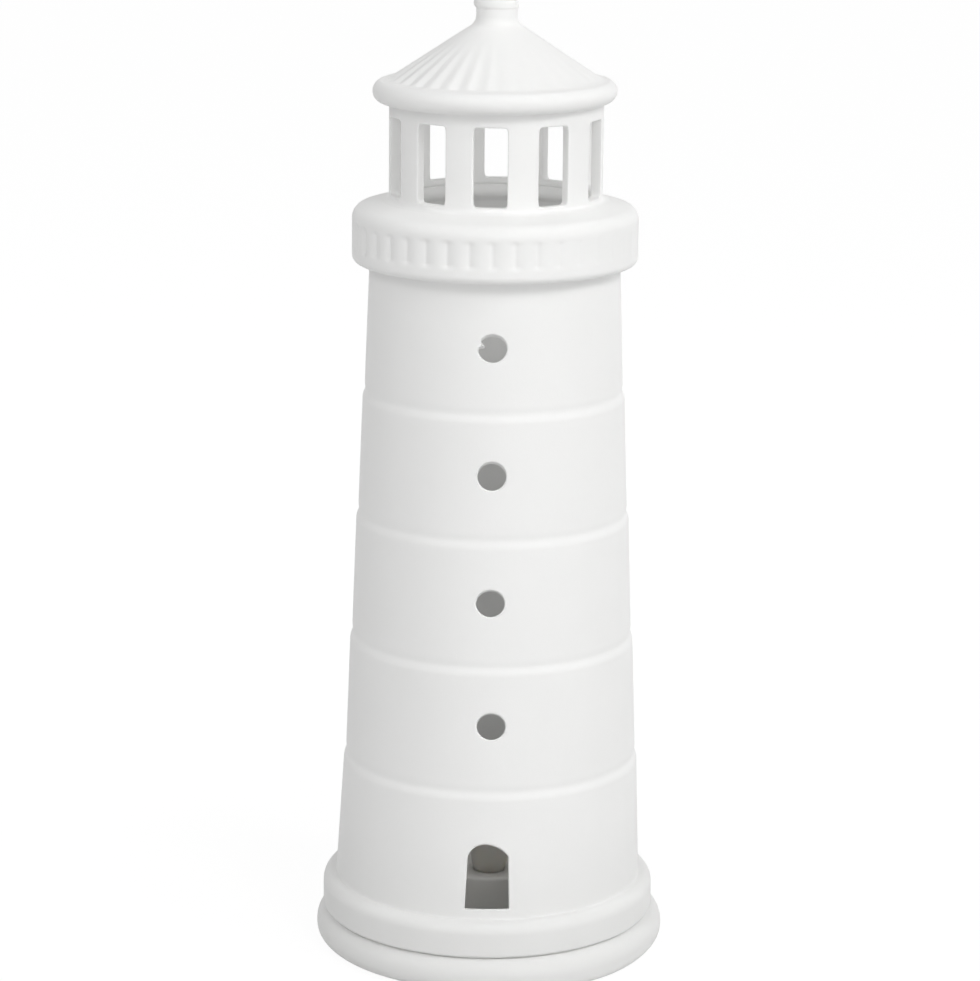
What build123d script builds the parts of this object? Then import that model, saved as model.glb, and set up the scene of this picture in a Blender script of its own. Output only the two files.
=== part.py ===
from build123d import *

import math
import os

# Porcelain lighthouse light: a hollow tower that stands over a battery tealight on a base dish.
# Millimetres, +Z up, the door faces -Y, the origin is the middle of the dish's underside.

os.makedirs("parts", exist_ok=True)

# Porcelain of the tower
shaft_wall = 3.0
gallery_wall = 3.0
lantern_wall = 2.7
roof_wall = 3.0

# Base dish, which the tower stands on
dish_lip = 2.6
dish_top_round = 4.0
dish_bottom_round = 3.3
dish_foot_width = 6.0
dish_hollow = 1.8
dish_floor = 2.3
well_depth = 1.9
well_clearance = 0.7
tray_depth = 2.7
locator_height = 3.0
locator_wall = 2.4
locator_round = 0.8
locator_clearance = 0.8

# Tower shaft: a foot ring under five tapering bands, each set back from the one below
shaft_bottom_radius = 39.85
foot_overhang = 3.55
foot_height = 10.8
foot_top_round = 3.0
foot_bottom_round = 1.2
band_count = 5
band_height = 32.4
band_taper = 1.23
band_step = 0.42
shoulder_height = 1.4

# Door and round windows in the front of the shaft
window_diameter = 7.1
window_rise = 0.4
door_sill = 1.35
door_height = 18.2
door_sill_width = 11.2
door_spring_width = 10.4
door_arch_rise = 3.4
door_arch_bulge = 0.6

# Gallery with its fluted side and sloping deck
gallery_overhang = 4.48
gallery_height = 16.9
gallery_bottom_round = 1.8
deck_width = 9.35
deck_drop = 2.9
deck_edge_round = 3.5
flute_count = 40
flute_width = 3.8
flute_depth = 0.6
flute_bottom = 3.7
flute_length = 7.3
flute_turn = -1.0

# Lantern room
lantern_height = 24.2
lantern_sill = 1.2
lantern_lintel = 3.7
lantern_window_count = 10
lantern_window_width = 8.5
lantern_window_corner = 0.6
lantern_turn = -2.6

# Roof and finial
eave_overhang = 3.75
eave_bead_radius = 2.85
eave_bead_rise = 0.6
roof_slope = 33.0
roof_groove_count = 32
roof_groove_turn = 1.4
roof_groove_width = 4.2
roof_groove_depth = 0.5
roof_groove_inset = 1.2
roof_groove_run = 15.0
neck_radius = 5.2
neck_height = 2.3
finial_swell = 0.4

# Tealight: coin cell and its holder
cell_radius = 10.0
cell_cap_radius = 8.8
cell_thickness = 3.2
cell_cap_height = 0.3
cell_clearance = 0.3
holder_wall = 1.3

# Tealight: base plate and twist-off battery cover
plate_recess = 0.8
plate_thickness = 1.6
plate_clearance = 0.15
cover_inset = 0.6
cover_clearance = 0.2
cover_gap = 0.1
lug_reach = 1.3
lug_width = 5.0
lug_thickness = 0.6
lug_clearance = 0.2
lug_lip = 0.7
lug_guard = 0.6
lug_roof = 0.8
notch_clearance = 0.3
unlock_angle = 40.0
coin_slot_length = 12.0
coin_slot_width = 1.8
coin_slot_depth = 0.7

# Tealight: slide switch
switch_gap = 0.6
switch_width = 2.8
switch_length = 6.6
switch_lift = 0.2
switch_wall = 0.4
knob_width = 1.6
knob_length = 2.4
knob_travel = 2.0
knob_clearance = 0.25
knob_proud = 0.5
knob_grip = 1.0

# Tealight: circuit board, contacts, chip and light-emitting diode
board_clearance = 0.2
board_margin = 0.1
board_thickness = 1.0
contact_gap = 0.8
contact_thickness = 0.25
contact_width = 3.0
contact_pad = 3.5
contact_leaf = 4.5
contact_offset = 4.5
contact_touch = 0.1
contact_room = 0.3
chip_length = 2.9
chip_width = 1.6
chip_height = 1.1
chip_offset = 8.0
led_radius = 2.5
led_rim = 0.4
led_rim_height = 1.0
led_height = 8.6
led_standoff = 2.0
lead_pitch = 2.54
lead_size = 0.5
lead_hole_clearance = 0.15
lead_tail = 0.3

# Tealight: cup and flame
cup_wall = 1.0
cup_ledge = 0.5
cup_rim_width = 1.6
cup_top_thickness = 1.2
cup_top_depth = 3.6
cup_top_sag = 0.7
flame_bore_clearance = 0.6
flame_neck_wall = 0.9
flame_neck_clearance = 0.2
flame_flange_reach = 1.2
flame_flange_thickness = 0.8
flame_lift = 1.0
flame_swell = 1.2
flame_height = 22.6
flame_belly = 6.5
flame_headroom = 2.0

# Heights and radii of the dish and the tower
well_z = dish_hollow + dish_floor
tray_z = well_z + well_depth
seat_z = tray_z + tray_depth
foot_radius = shaft_bottom_radius + foot_overhang
dish_radius = foot_radius + dish_lip
bore_bottom_radius = shaft_bottom_radius - shaft_wall
foot_top_z = seat_z + foot_height
gallery_z = foot_top_z + band_count * band_height
shaft_top_radius = shaft_bottom_radius - band_count * band_taper - (band_count - 1) * band_step
bore_top_radius = shaft_top_radius - shaft_wall
gallery_radius = shaft_top_radius + gallery_overhang
deck_z = gallery_z + gallery_height
deck_edge_z = deck_z - deck_drop
lantern_radius = gallery_radius - deck_width
lantern_bore = lantern_radius - lantern_wall
eave_z = deck_z + lantern_height

# Heights and radii of the roof
slope_rise = math.tan(math.radians(roof_slope))
bead_ring_radius = lantern_radius + eave_overhang - eave_bead_radius
bead_z = eave_z + eave_bead_radius
cone_eave_z = bead_z + eave_bead_radius - eave_bead_rise
neck_z = cone_eave_z + slope_rise * (bead_ring_radius - neck_radius)
roof_top_z = neck_z + neck_height
roof_wall_drop = roof_wall / math.cos(math.radians(roof_slope))

# Heights in the tealight, which stands in the dish's well
plate_z = well_z + plate_recess
plate_top_z = plate_z + plate_thickness
cell_top_z = plate_top_z + cell_thickness
board_z = cell_top_z + contact_gap
board_top_z = board_z + board_thickness
led_z = board_top_z + led_standoff
flame_z = led_z + led_rim_height + flame_lift
cup_under_z = flame_z + flame_flange_thickness
collar_z = cup_under_z + cup_top_thickness
cup_rim_z = collar_z + cup_top_depth
lip_top_z = plate_z + lug_lip

# Radii in the tealight, from the coin cell outwards
holder_bore = cell_radius + cell_clearance
holder_radius = holder_bore + holder_wall
cover_radius = holder_bore + cover_inset
cover_bore = cover_radius + cover_clearance
lug_radius = cover_radius + lug_reach
lug_groove_radius = lug_radius + lug_clearance
guard_radius = lug_groove_radius + lug_guard
switch_inner = guard_radius + switch_gap
switch_middle = switch_inner + switch_width / 2
board_radius = math.hypot(switch_inner + switch_width, switch_length / 2) + board_margin
cup_bore = board_radius + board_clearance
plate_bore = cup_bore + cup_ledge
cup_radius = plate_bore + cup_wall
well_radius = cup_radius + well_clearance
flame_bore = led_radius + flame_bore_clearance
flame_neck_radius = flame_bore + flame_neck_wall
flame_flange_radius = flame_neck_radius + flame_flange_reach
collar_bore = flame_neck_radius + flame_neck_clearance
slot_length = knob_length + knob_travel + 2 * knob_clearance
slot_width = knob_width + 2 * knob_clearance


def corner(sketch, x, y):
    """The corner of a profile that lies nearest to a point."""
    return sketch.vertices().sort_by_distance(Vector(x, y))[0]


def cone_z(radius):
    """Height of the roof's outer slope at a radius."""
    return cone_eave_z + slope_rise * (bead_ring_radius - radius)


# Base dish: a rounded ring with a foot below, a locating rim, a tray and the tealight's well
dish_foot_radius = dish_radius - dish_bottom_round - dish_foot_width
locator_radius = bore_bottom_radius - locator_clearance
locator_top_z = seat_z + locator_height

with BuildPart() as base_dish:
    with BuildSketch(Plane.XZ) as dish_profile:
        with BuildLine():
            Polyline(
                (0, dish_hollow),
                (dish_foot_radius, dish_hollow),
                (dish_foot_radius, 0),
                (dish_radius, 0),
                (dish_radius, seat_z),
                (locator_radius, seat_z),
                (locator_radius, locator_top_z),
                (locator_radius - locator_wall, locator_top_z),
                (locator_radius - locator_wall, tray_z),
                (well_radius, tray_z),
                (well_radius, well_z),
                (0, well_z),
                close=True,
            )
        make_face()
        fillet(corner(dish_profile, dish_radius, 0), radius=dish_bottom_round)
        fillet(corner(dish_profile, dish_radius, seat_z), radius=dish_top_round)
        fillet(corner(dish_profile, locator_radius, locator_top_z), radius=locator_round)
    revolve(axis=Axis.Z)
base_dish.part.label = "base_dish"
export_step(base_dish.part, "parts/base_dish.step")

# Tower shaft: foot ring, bands with rounded shoulders, door and round windows
door_z = foot_top_z + door_sill
door_apex_z = door_z + door_height
door_spring_z = door_apex_z - door_arch_rise
window_heights = [foot_top_z + (band + 0.5) * band_height + window_rise for band in range(1, band_count)]

with BuildPart() as tower_shaft:
    with BuildSketch(Plane.XZ) as shaft_profile:
        with BuildLine():
            Polyline(
                (bore_bottom_radius, seat_z),
                (foot_radius, seat_z),
                (foot_radius, foot_top_z),
                (shaft_bottom_radius, foot_top_z),
            )
            for band in range(band_count):
                low_radius = shaft_bottom_radius - band * (band_taper + band_step)
                low_z = foot_top_z + band * band_height
                high_radius = low_radius - band_taper
                high_z = low_z + band_height
                if band < band_count - 1:
                    side = Line((low_radius, low_z), (high_radius, high_z - shoulder_height))
                    TangentArc(side @ 1, (high_radius - band_step, high_z), tangent=side % 1)
                else:
                    Line((low_radius, low_z), (high_radius, high_z))
            Polyline(
                (shaft_top_radius, gallery_z),
                (bore_top_radius, gallery_z),
                (bore_bottom_radius, foot_top_z),
                (bore_bottom_radius, seat_z),
            )
        make_face()
        fillet(corner(shaft_profile, foot_radius, foot_top_z), radius=foot_top_round)
        fillet(corner(shaft_profile, foot_radius, seat_z), radius=foot_bottom_round)
    revolve(axis=Axis.Z)
    with BuildSketch(Plane.XZ):
        with Locations(*[(0, height) for height in window_heights]):
            Circle(window_diameter / 2)
        with BuildLine():
            Polyline(
                (-door_spring_width / 2, door_spring_z),
                (-door_sill_width / 2, door_z),
                (door_sill_width / 2, door_z),
                (door_spring_width / 2, door_spring_z),
            )
            SagittaArc((door_spring_width / 2, door_spring_z), (0, door_apex_z), -door_arch_bulge)
            SagittaArc((0, door_apex_z), (-door_spring_width / 2, door_spring_z), -door_arch_bulge)
        make_face()
    extrude(amount=foot_radius, mode=Mode.SUBTRACT)
tower_shaft.part.label = "tower_shaft"
export_step(tower_shaft.part, "parts/tower_shaft.step")

# Gallery: a hollow ring with a sloping deck and sharp flutes between the ribs round its side
gallery_inside = gallery_radius - gallery_wall - flute_depth

with BuildPart() as flute_cutter:
    with BuildSketch(Plane.XY.offset(gallery_z + flute_bottom)):
        with BuildLine():
            Polyline(
                (gallery_radius - flute_depth, 0),
                (gallery_radius + flute_depth, flute_width),
                (gallery_radius + flute_depth, -flute_width),
                close=True,
            )
        make_face()
    extrude(amount=flute_length)

with BuildPart() as gallery:
    with BuildSketch(Plane.XZ) as gallery_profile:
        with BuildLine():
            Polyline(
                (bore_top_radius, gallery_z),
                (gallery_radius, gallery_z),
                (gallery_radius, deck_edge_z),
                (lantern_radius, deck_z),
                (lantern_bore, deck_z),
                (lantern_bore, deck_z - gallery_wall),
                (gallery_inside, deck_edge_z - gallery_wall),
                (gallery_inside, gallery_z + gallery_wall),
                (bore_top_radius, gallery_z + gallery_wall),
                close=True,
            )
        make_face()
        fillet(corner(gallery_profile, gallery_radius, gallery_z), radius=gallery_bottom_round)
        fillet(corner(gallery_profile, gallery_radius, deck_edge_z), radius=deck_edge_round)
    revolve(axis=Axis.Z)
    with PolarLocations(0, flute_count, start_angle=flute_turn):
        add(flute_cutter.part, mode=Mode.SUBTRACT)
gallery.part.label = "gallery"
export_step(gallery.part, "parts/gallery.step")

# Lantern room: a thin drum with a ring of tall windows
lantern_window_height = lantern_height - lantern_sill - lantern_lintel
lantern_window_z = deck_z + lantern_sill + lantern_window_height / 2

with BuildPart() as lantern_window:
    with BuildSketch(Plane.XZ):
        with Locations((0, lantern_window_z)):
            RectangleRounded(lantern_window_width, lantern_window_height, lantern_window_corner)
    extrude(amount=lantern_radius + lantern_wall)

with BuildPart() as lantern_room:
    with BuildSketch(Plane.XY.offset(deck_z)):
        Circle(lantern_radius)
        Circle(lantern_bore, mode=Mode.SUBTRACT)
    extrude(amount=lantern_height)
    with PolarLocations(0, lantern_window_count, start_angle=lantern_turn):
        add(lantern_window.part, mode=Mode.SUBTRACT)
lantern_room.part.label = "lantern_room"
export_step(lantern_room.part, "parts/lantern_room.step")

# Roof: a hollow cone with grooves that run out up the slope, an eave bead and a neck for the finial
groove_low = bead_ring_radius - roof_groove_inset
groove_high = groove_low - roof_groove_run
slope_normal = Vector(slope_rise, 0, 1).normalized()
groove_root = Vector(groove_low, 0, cone_z(groove_low)) - slope_normal * roof_groove_depth
groove_tip = Vector(groove_high, 0, cone_z(groove_high))
groove_axis = groove_tip - groove_root

with BuildPart() as groove_cutter:
    with BuildSketch(Plane(groove_root, x_dir=(0, -1, 0), z_dir=groove_axis)):
        with BuildLine():
            Polyline(
                (0, 0),
                (roof_groove_width, 2 * roof_groove_depth),
                (-roof_groove_width, 2 * roof_groove_depth),
                close=True,
            )
        make_face()
    extrude(amount=groove_axis.length)

with BuildPart() as roof:
    with BuildSketch(Plane.XZ):
        with BuildLine():
            Polyline(
                (lantern_bore, eave_z),
                (bead_ring_radius, eave_z),
                (bead_ring_radius, cone_eave_z),
                (neck_radius, neck_z),
                (neck_radius, roof_top_z),
                (0, roof_top_z),
                (0, cone_z(0) - roof_wall_drop),
                (lantern_bore, cone_z(lantern_bore) - roof_wall_drop),
                close=True,
            )
        make_face()
    revolve(axis=Axis.Z)
    with PolarLocations(0, roof_groove_count, start_angle=roof_groove_turn):
        add(groove_cutter.part, mode=Mode.SUBTRACT)
    with BuildSketch(Plane.XZ):
        with Locations((bead_ring_radius, bead_z)):
            Circle(eave_bead_radius)
    revolve(axis=Axis.Z)
roof.part.label = "roof"
export_step(roof.part, "parts/roof.step")

# Finial: a ball with a flat seat on the roof's neck
finial_radius = neck_radius + finial_swell
finial_z = roof_top_z + math.sqrt(finial_radius**2 - neck_radius**2)

with BuildPart() as finial:
    with Locations((0, 0, finial_z)):
        Sphere(finial_radius)
    split(bisect_by=Plane.XY.offset(roof_top_z), keep=Keep.TOP)
finial.part.label = "finial"
export_step(finial.part, "parts/finial.step")

# Tealight cup: the outer shell, with a dished top round the flame's collar
cup_top_middle = (collar_bore + cup_radius - cup_rim_width) / 2
cup_top_middle_z = collar_z + cup_top_depth / 2 - cup_top_sag
rim_under_z = cup_rim_z - cup_top_thickness

with BuildPart() as tealight_cup:
    with BuildSketch(Plane.XZ):
        with BuildLine():
            Polyline(
                (collar_bore, collar_z),
                (collar_bore, cup_under_z),
                (flame_flange_radius, cup_under_z),
            )
            ThreePointArc(
                (flame_flange_radius, cup_under_z),
                (cup_top_middle, cup_top_middle_z - cup_top_thickness),
                (cup_bore - cup_ledge, rim_under_z),
            )
            Polyline(
                (cup_bore - cup_ledge, rim_under_z),
                (cup_bore, rim_under_z),
                (cup_bore, plate_top_z),
                (plate_bore, plate_top_z),
                (plate_bore, well_z),
                (cup_radius, well_z),
                (cup_radius, cup_rim_z),
                (cup_radius - cup_rim_width, cup_rim_z),
            )
            ThreePointArc(
                (cup_radius - cup_rim_width, cup_rim_z),
                (cup_top_middle, cup_top_middle_z),
                (collar_bore, collar_z),
            )
        make_face()
    revolve(axis=Axis.Z)
tealight_cup.part.label = "tealight_cup"
export_step(tealight_cup.part, "parts/tealight_cup.step")

# Tealight flame: a hollow lens with its flange trapped under the cup's collar
flame_radius = flame_neck_radius + flame_swell
flame_tip_z = collar_z + flame_height
flame_bore_z = led_z + led_height + flame_headroom

with BuildPart() as tealight_flame:
    with BuildSketch(Plane.XZ):
        with BuildLine():
            Polyline(
                (flame_bore, flame_z),
                (flame_flange_radius, flame_z),
                (flame_flange_radius, cup_under_z),
                (flame_neck_radius, cup_under_z),
                (flame_neck_radius, collar_z),
            )
            Spline(
                (flame_neck_radius, collar_z),
                (flame_radius, collar_z + flame_belly),
                (0, flame_tip_z),
                tangents=((0, 1), (-flame_swell, flame_belly)),
            )
            Polyline((0, flame_tip_z), (0, flame_bore_z), (flame_bore, flame_bore_z), (flame_bore, flame_z))
        make_face()
    revolve(axis=Axis.Z)
tealight_flame.part.label = "tealight_flame"
export_step(tealight_flame.part, "parts/tealight_flame.step")

# Light-emitting diode: a rim and a domed lens on two leads
led_dome_z = led_z + led_height - led_radius

with BuildPart() as led_bulb:
    with BuildSketch(Plane.XZ):
        with BuildLine():
            Polyline(
                (0, led_z + led_height),
                (0, led_z),
                (led_radius + led_rim, led_z),
                (led_radius + led_rim, led_z + led_rim_height),
                (led_radius, led_z + led_rim_height),
                (led_radius, led_dome_z),
            )
            RadiusArc((led_radius, led_dome_z), (0, led_z + led_height), -led_radius)
        make_face()
    revolve(axis=Axis.Z)
led_bulb.part.label = "led_bulb"
export_step(led_bulb.part, "parts/led_bulb.step")

with BuildPart() as led_leads:
    with BuildSketch(Plane.XY.offset(board_z - lead_tail)):
        with GridLocations(lead_pitch, 0, 2, 1):
            Rectangle(lead_size, lead_size)
    extrude(amount=lead_tail + board_thickness + led_standoff)
led_leads.part.label = "led_leads"
export_step(led_leads.part, "parts/led_leads.step")

# Circuit board: a disc on the holder's rim, drilled for the leads
lead_hole_radius = lead_size / math.sqrt(2) + lead_hole_clearance

with BuildPart() as circuit_board:
    with BuildSketch(Plane.XY.offset(board_z)):
        Circle(board_radius)
        with GridLocations(lead_pitch, 0, 2, 1):
            Circle(lead_hole_radius, mode=Mode.SUBTRACT)
    extrude(amount=board_thickness)
circuit_board.part.label = "circuit_board"
export_step(circuit_board.part, "parts/circuit_board.step")

with BuildPart() as flicker_chip:
    with BuildSketch(Plane.XY.offset(board_top_z)):
        with Locations((-chip_offset, 0)):
            Rectangle(chip_width, chip_length)
    extrude(amount=chip_height)
flicker_chip.part.label = "flicker_chip"
export_step(flicker_chip.part, "parts/flicker_chip.step")

# Slide switch: a case under the board, open below for its knob
switch_z = plate_top_z + switch_lift
knob_z = plate_z - knob_proud
knob_top_z = switch_z + knob_grip

with BuildPart() as switch_body:
    with BuildSketch(Plane.XY.offset(switch_z)):
        with Locations((switch_middle, 0)):
            Rectangle(switch_width, switch_length)
    extrude(amount=board_z - switch_z)
    with BuildSketch(Plane.XY.offset(switch_z)):
        with Locations((switch_middle, 0)):
            Rectangle(slot_width, slot_length)
    extrude(amount=knob_grip + switch_wall, mode=Mode.SUBTRACT)
switch_body.part.label = "switch_body"
export_step(switch_body.part, "parts/switch_body.step")

with BuildPart() as switch_knob:
    with BuildSketch(Plane.XY.offset(knob_z)):
        with Locations((switch_middle, -knob_travel / 2)):
            Rectangle(knob_width, knob_length)
    extrude(amount=knob_top_z - knob_z)
switch_knob.part.label = "switch_knob"
export_step(switch_knob.part, "parts/switch_knob.step")

# Coin cell: a can with a raised cap, on the battery cover
with BuildPart() as coin_cell:
    with BuildSketch(Plane.XY.offset(plate_top_z)):
        Circle(cell_radius)
    extrude(amount=cell_thickness - cell_cap_height)
    with BuildSketch(Plane.XY.offset(cell_top_z - cell_cap_height)):
        Circle(cell_cap_radius)
    extrude(amount=cell_cap_height)
coin_cell.part.label = "coin_cell"
export_step(coin_cell.part, "parts/coin_cell.step")

# Contacts: a leaf from the board to the cell's cap, and a strip from the board to its can
leaf_start = -contact_pad / 2 - contact_leaf / 2

with BuildPart() as negative_contact:
    with BuildSketch(Plane.XZ.offset(contact_offset - contact_width / 2)):
        with BuildLine():
            Polyline(
                (leaf_start - contact_pad, board_z),
                (leaf_start, board_z),
                (leaf_start + contact_leaf, cell_top_z + contact_thickness),
                (leaf_start + contact_leaf + contact_pad, cell_top_z + contact_thickness),
                (leaf_start + contact_leaf + contact_pad, cell_top_z),
                (leaf_start + contact_leaf, cell_top_z),
                (leaf_start, board_z - contact_thickness),
                (leaf_start - contact_pad, board_z - contact_thickness),
                close=True,
            )
        make_face()
    extrude(amount=contact_width)
negative_contact.part.label = "negative_contact"
export_step(negative_contact.part, "parts/negative_contact.step")

guard_top_z = plate_top_z + lug_roof
strip_inner = cell_radius + contact_touch
strip_outer = strip_inner + contact_thickness

with BuildPart() as positive_contact:
    with BuildSketch(Plane.YZ):
        with BuildLine():
            Polyline(
                (strip_inner, board_z),
                (strip_inner, guard_top_z + contact_room),
                (strip_outer, guard_top_z + contact_room),
                (strip_outer, board_z - contact_thickness),
                (strip_inner + contact_pad, board_z - contact_thickness),
                (strip_inner + contact_pad, board_z),
                close=True,
            )
        make_face()
    extrude(amount=contact_width / 2, both=True)
positive_contact.part.label = "positive_contact"
export_step(positive_contact.part, "parts/positive_contact.step")

# Tealight base: a plate with the cell's holder, the cover's bayonet groove and the switch slot
notch_width = lug_width + 2 * notch_clearance
notch_radius = lug_radius + lug_clearance / 2
contact_notch_width = contact_width + 2 * contact_room

with BuildPart() as tealight_base:
    with BuildSketch(Plane.XZ):
        with BuildLine():
            Polyline(
                (cover_bore, plate_z),
                (plate_bore - plate_clearance, plate_z),
                (plate_bore - plate_clearance, plate_top_z),
                (guard_radius, plate_top_z),
                (guard_radius, guard_top_z),
                (holder_radius, guard_top_z),
                (holder_radius, board_z),
                (holder_bore, board_z),
                (holder_bore, plate_top_z),
                (lug_groove_radius, plate_top_z),
                (lug_groove_radius, lip_top_z),
                (cover_bore, lip_top_z),
                close=True,
            )
        make_face()
    revolve(axis=Axis.Z)
    with BuildSketch(Plane.XY.offset(plate_z)):
        Circle(notch_radius)
        Rectangle(2 * notch_radius, notch_width, rotation=unlock_angle, mode=Mode.INTERSECT)
    extrude(amount=(lug_lip + plate_thickness) / 2, mode=Mode.SUBTRACT)
    with BuildSketch(Plane.XY.offset(plate_z)):
        with Locations((switch_middle, 0)):
            Rectangle(slot_width, slot_length)
    extrude(amount=plate_thickness, mode=Mode.SUBTRACT)
    with BuildSketch(Plane.XY.offset(guard_top_z + contact_touch)):
        with Locations((0, holder_radius)):
            Rectangle(contact_notch_width, 2 * (holder_radius - cell_radius))
    extrude(amount=board_top_z - guard_top_z, mode=Mode.SUBTRACT)
tealight_base.part.label = "tealight_base"
export_step(tealight_base.part, "parts/tealight_base.step")

# Battery cover: a twist-off disc with two lugs and a coin slot
cover_thickness = plate_thickness - cover_gap
lug_z = lip_top_z + (plate_top_z - lip_top_z - lug_thickness) / 2

with BuildPart() as battery_cover:
    with BuildSketch(Plane.XY.offset(plate_z)):
        Circle(cover_radius)
    extrude(amount=cover_thickness)
    with BuildSketch(Plane.XY.offset(lug_z)):
        Circle(lug_radius)
        Rectangle(2 * lug_radius, lug_width, mode=Mode.INTERSECT)
    extrude(amount=lug_thickness)
    with BuildSketch(Plane.XY.offset(plate_z)):
        SlotOverall(coin_slot_length, coin_slot_width)
    extrude(amount=coin_slot_depth, mode=Mode.SUBTRACT)
battery_cover.part.label = "battery_cover"
export_step(battery_cover.part, "parts/battery_cover.step")
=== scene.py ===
"""A white bisque porcelain lighthouse that stands over a battery tealight.

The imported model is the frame. The porcelain, the tealight's cup and its flame are new surfaces,
worked out with numpy in the model's own metres. The small pieces inside the tealight keep their
solids and get their finishes here. Bearings are measured round the tower from the door side (-Y)
towards +X.
"""

from __future__ import annotations

import logging
import math
from dataclasses import dataclass, field
from enum import Enum
from typing import Any, Callable, Sequence

import bpy
import numpy as np
from mathutils import Matrix, Vector


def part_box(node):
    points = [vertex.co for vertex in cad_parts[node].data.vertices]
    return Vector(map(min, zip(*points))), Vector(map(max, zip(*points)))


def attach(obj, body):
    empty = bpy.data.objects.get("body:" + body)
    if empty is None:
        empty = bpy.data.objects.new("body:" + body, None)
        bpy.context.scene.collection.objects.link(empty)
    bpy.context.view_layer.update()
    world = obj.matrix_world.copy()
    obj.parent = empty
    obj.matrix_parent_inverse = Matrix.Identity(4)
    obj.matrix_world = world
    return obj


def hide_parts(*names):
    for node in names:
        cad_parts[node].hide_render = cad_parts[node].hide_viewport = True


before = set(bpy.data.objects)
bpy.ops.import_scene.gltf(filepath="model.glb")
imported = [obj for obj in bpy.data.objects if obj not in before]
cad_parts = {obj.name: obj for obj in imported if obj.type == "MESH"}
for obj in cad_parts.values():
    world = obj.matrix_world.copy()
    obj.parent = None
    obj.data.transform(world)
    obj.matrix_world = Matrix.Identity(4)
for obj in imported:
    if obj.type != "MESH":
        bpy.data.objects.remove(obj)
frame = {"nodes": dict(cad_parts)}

LOG = logging.getLogger("lighthouse")

Array = np.ndarray
Corner = tuple[float, float, float]
Outline = Callable[[int, int], Array]

MM = 0.001
WELD = 1e-7
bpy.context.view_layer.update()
WHITE = (1.0, 1.0, 1.0, 1.0)

LANTERN_WALL = 2.7 * MM
DECK_SINK = 0.6 * MM
FADE_SPAN = math.radians(25.0)
WHOLE_START = math.radians(120.0)
WHOLE_END = math.radians(160.0)
KILN_WAVES = ((0.0016, 2, 11.0, 0.6), (0.0011, 3, -17.0, 2.1), (0.0007, 5, 29.0, 4.0))


class Body(str, Enum):
    """The bodies of the model that a piece can ride on."""

    DISH = "dish"
    TOWER = "tower"
    TEALIGHT = "tealight"


class Slot(str, Enum):
    """The record's material slots."""

    PORCELAIN = "porcelain"
    CUP_PLASTIC = "cup_plastic"
    FLAME_PLASTIC = "flame_plastic"
    LED_EPOXY = "led_epoxy"
    SPRING_STEEL = "spring_steel"
    CELL_STEEL = "cell_steel"
    BOARD = "board"
    BLACK_PLASTIC = "black_plastic"


# Surfaces


def on_tower(radius: Array, bearing: Array, height: Array) -> Array:
    """Points round the tower's axis: x = r sin(b), y = -r cos(b), z = h.

    Args:
        radius: distances from the axis.
        bearing: angles from the door side towards +X, in radians.
        height: heights above the floor.

    Returns:
        The points, with the three inputs broadcast against each other.
    """
    radius, bearing, height = np.broadcast_arrays(radius, bearing, height)
    return np.stack((radius * np.sin(bearing), -radius * np.cos(bearing), height), axis=-1)


def turned(points: Array, bearing: float) -> Array:
    """The points turned round the axis by a bearing, from the door side towards +X."""
    cosine, sine = math.cos(bearing), math.sin(bearing)
    x, y, z = np.moveaxis(points, -1, 0)
    return np.stack((cosine * x - sine * y, sine * x + cosine * y, z), axis=-1)


def bearing_of(points: Array) -> Array:
    """Bearings of points, from the door side towards +X."""
    return np.arctan2(points[:, 0], -points[:, 1])


def half_turn(angle: Array) -> Array:
    """Angles brought between minus and plus half a turn."""
    return (angle + math.pi) % (2.0 * math.pi) - math.pi


def bell(value: Array, reach: float) -> Array:
    """The bell curve exp(-(value / reach)^2)."""
    return np.exp(-((value / reach) ** 2))


def normals(along: Array) -> Array:
    """Unit vectors to the right of vectors in a plane."""
    out = np.stack((along[:, 1], -along[:, 0]), axis=1)
    return out / np.linalg.norm(out, axis=1, keepdims=True)


def smooth(value: Array, start: float, end: float) -> Array:
    """A step from 0 at start to 1 at end along 3t^2 - 2t^3."""
    share = np.clip((value - start) / (end - start), 0.0, 1.0)
    return share * share * (3.0 - 2.0 * share)


def slip_cove(height: Array, joint: float, width: float, rise: float) -> Array:
    """How far a fillet of slip stands out below a joint.

    It is a quarter ellipse, width (1 - sqrt(1 - t^2)).

    Args:
        height: heights on the wall below the joint.
        joint: height of the joint.
        width: the fillet's width at the joint.
        rise: its height.

    Returns:
        The fillet's width at each height.
    """
    share = np.clip((height - joint + rise) / rise, 0.0, 1.0)
    return width * (1.0 - np.sqrt(1.0 - share**2))


def faded(bearing: Array, start: float, share: float) -> Array:
    """The share of its depth that a groove keeps at a bearing.

    Past the start it falls along 3t^2 - 2t^3 to the given share. On the far side it is whole again.

    Args:
        bearing: bearings of the grooves.
        start: bearing at which they begin to fade.
        share: what is left where they are faintest.

    Returns:
        The shares.
    """
    turn = half_turn(bearing)
    worn = smooth(turn, start, start + FADE_SPAN)
    return 1.0 - (1.0 - share) * (worn - smooth(turn, WHOLE_START, WHOLE_END))


def even_bearings(count: int, start: float = 0.0) -> Array:
    """Bearings that divide the whole turn evenly."""
    return start + np.arange(count) * (2.0 * math.pi / count)


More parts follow.
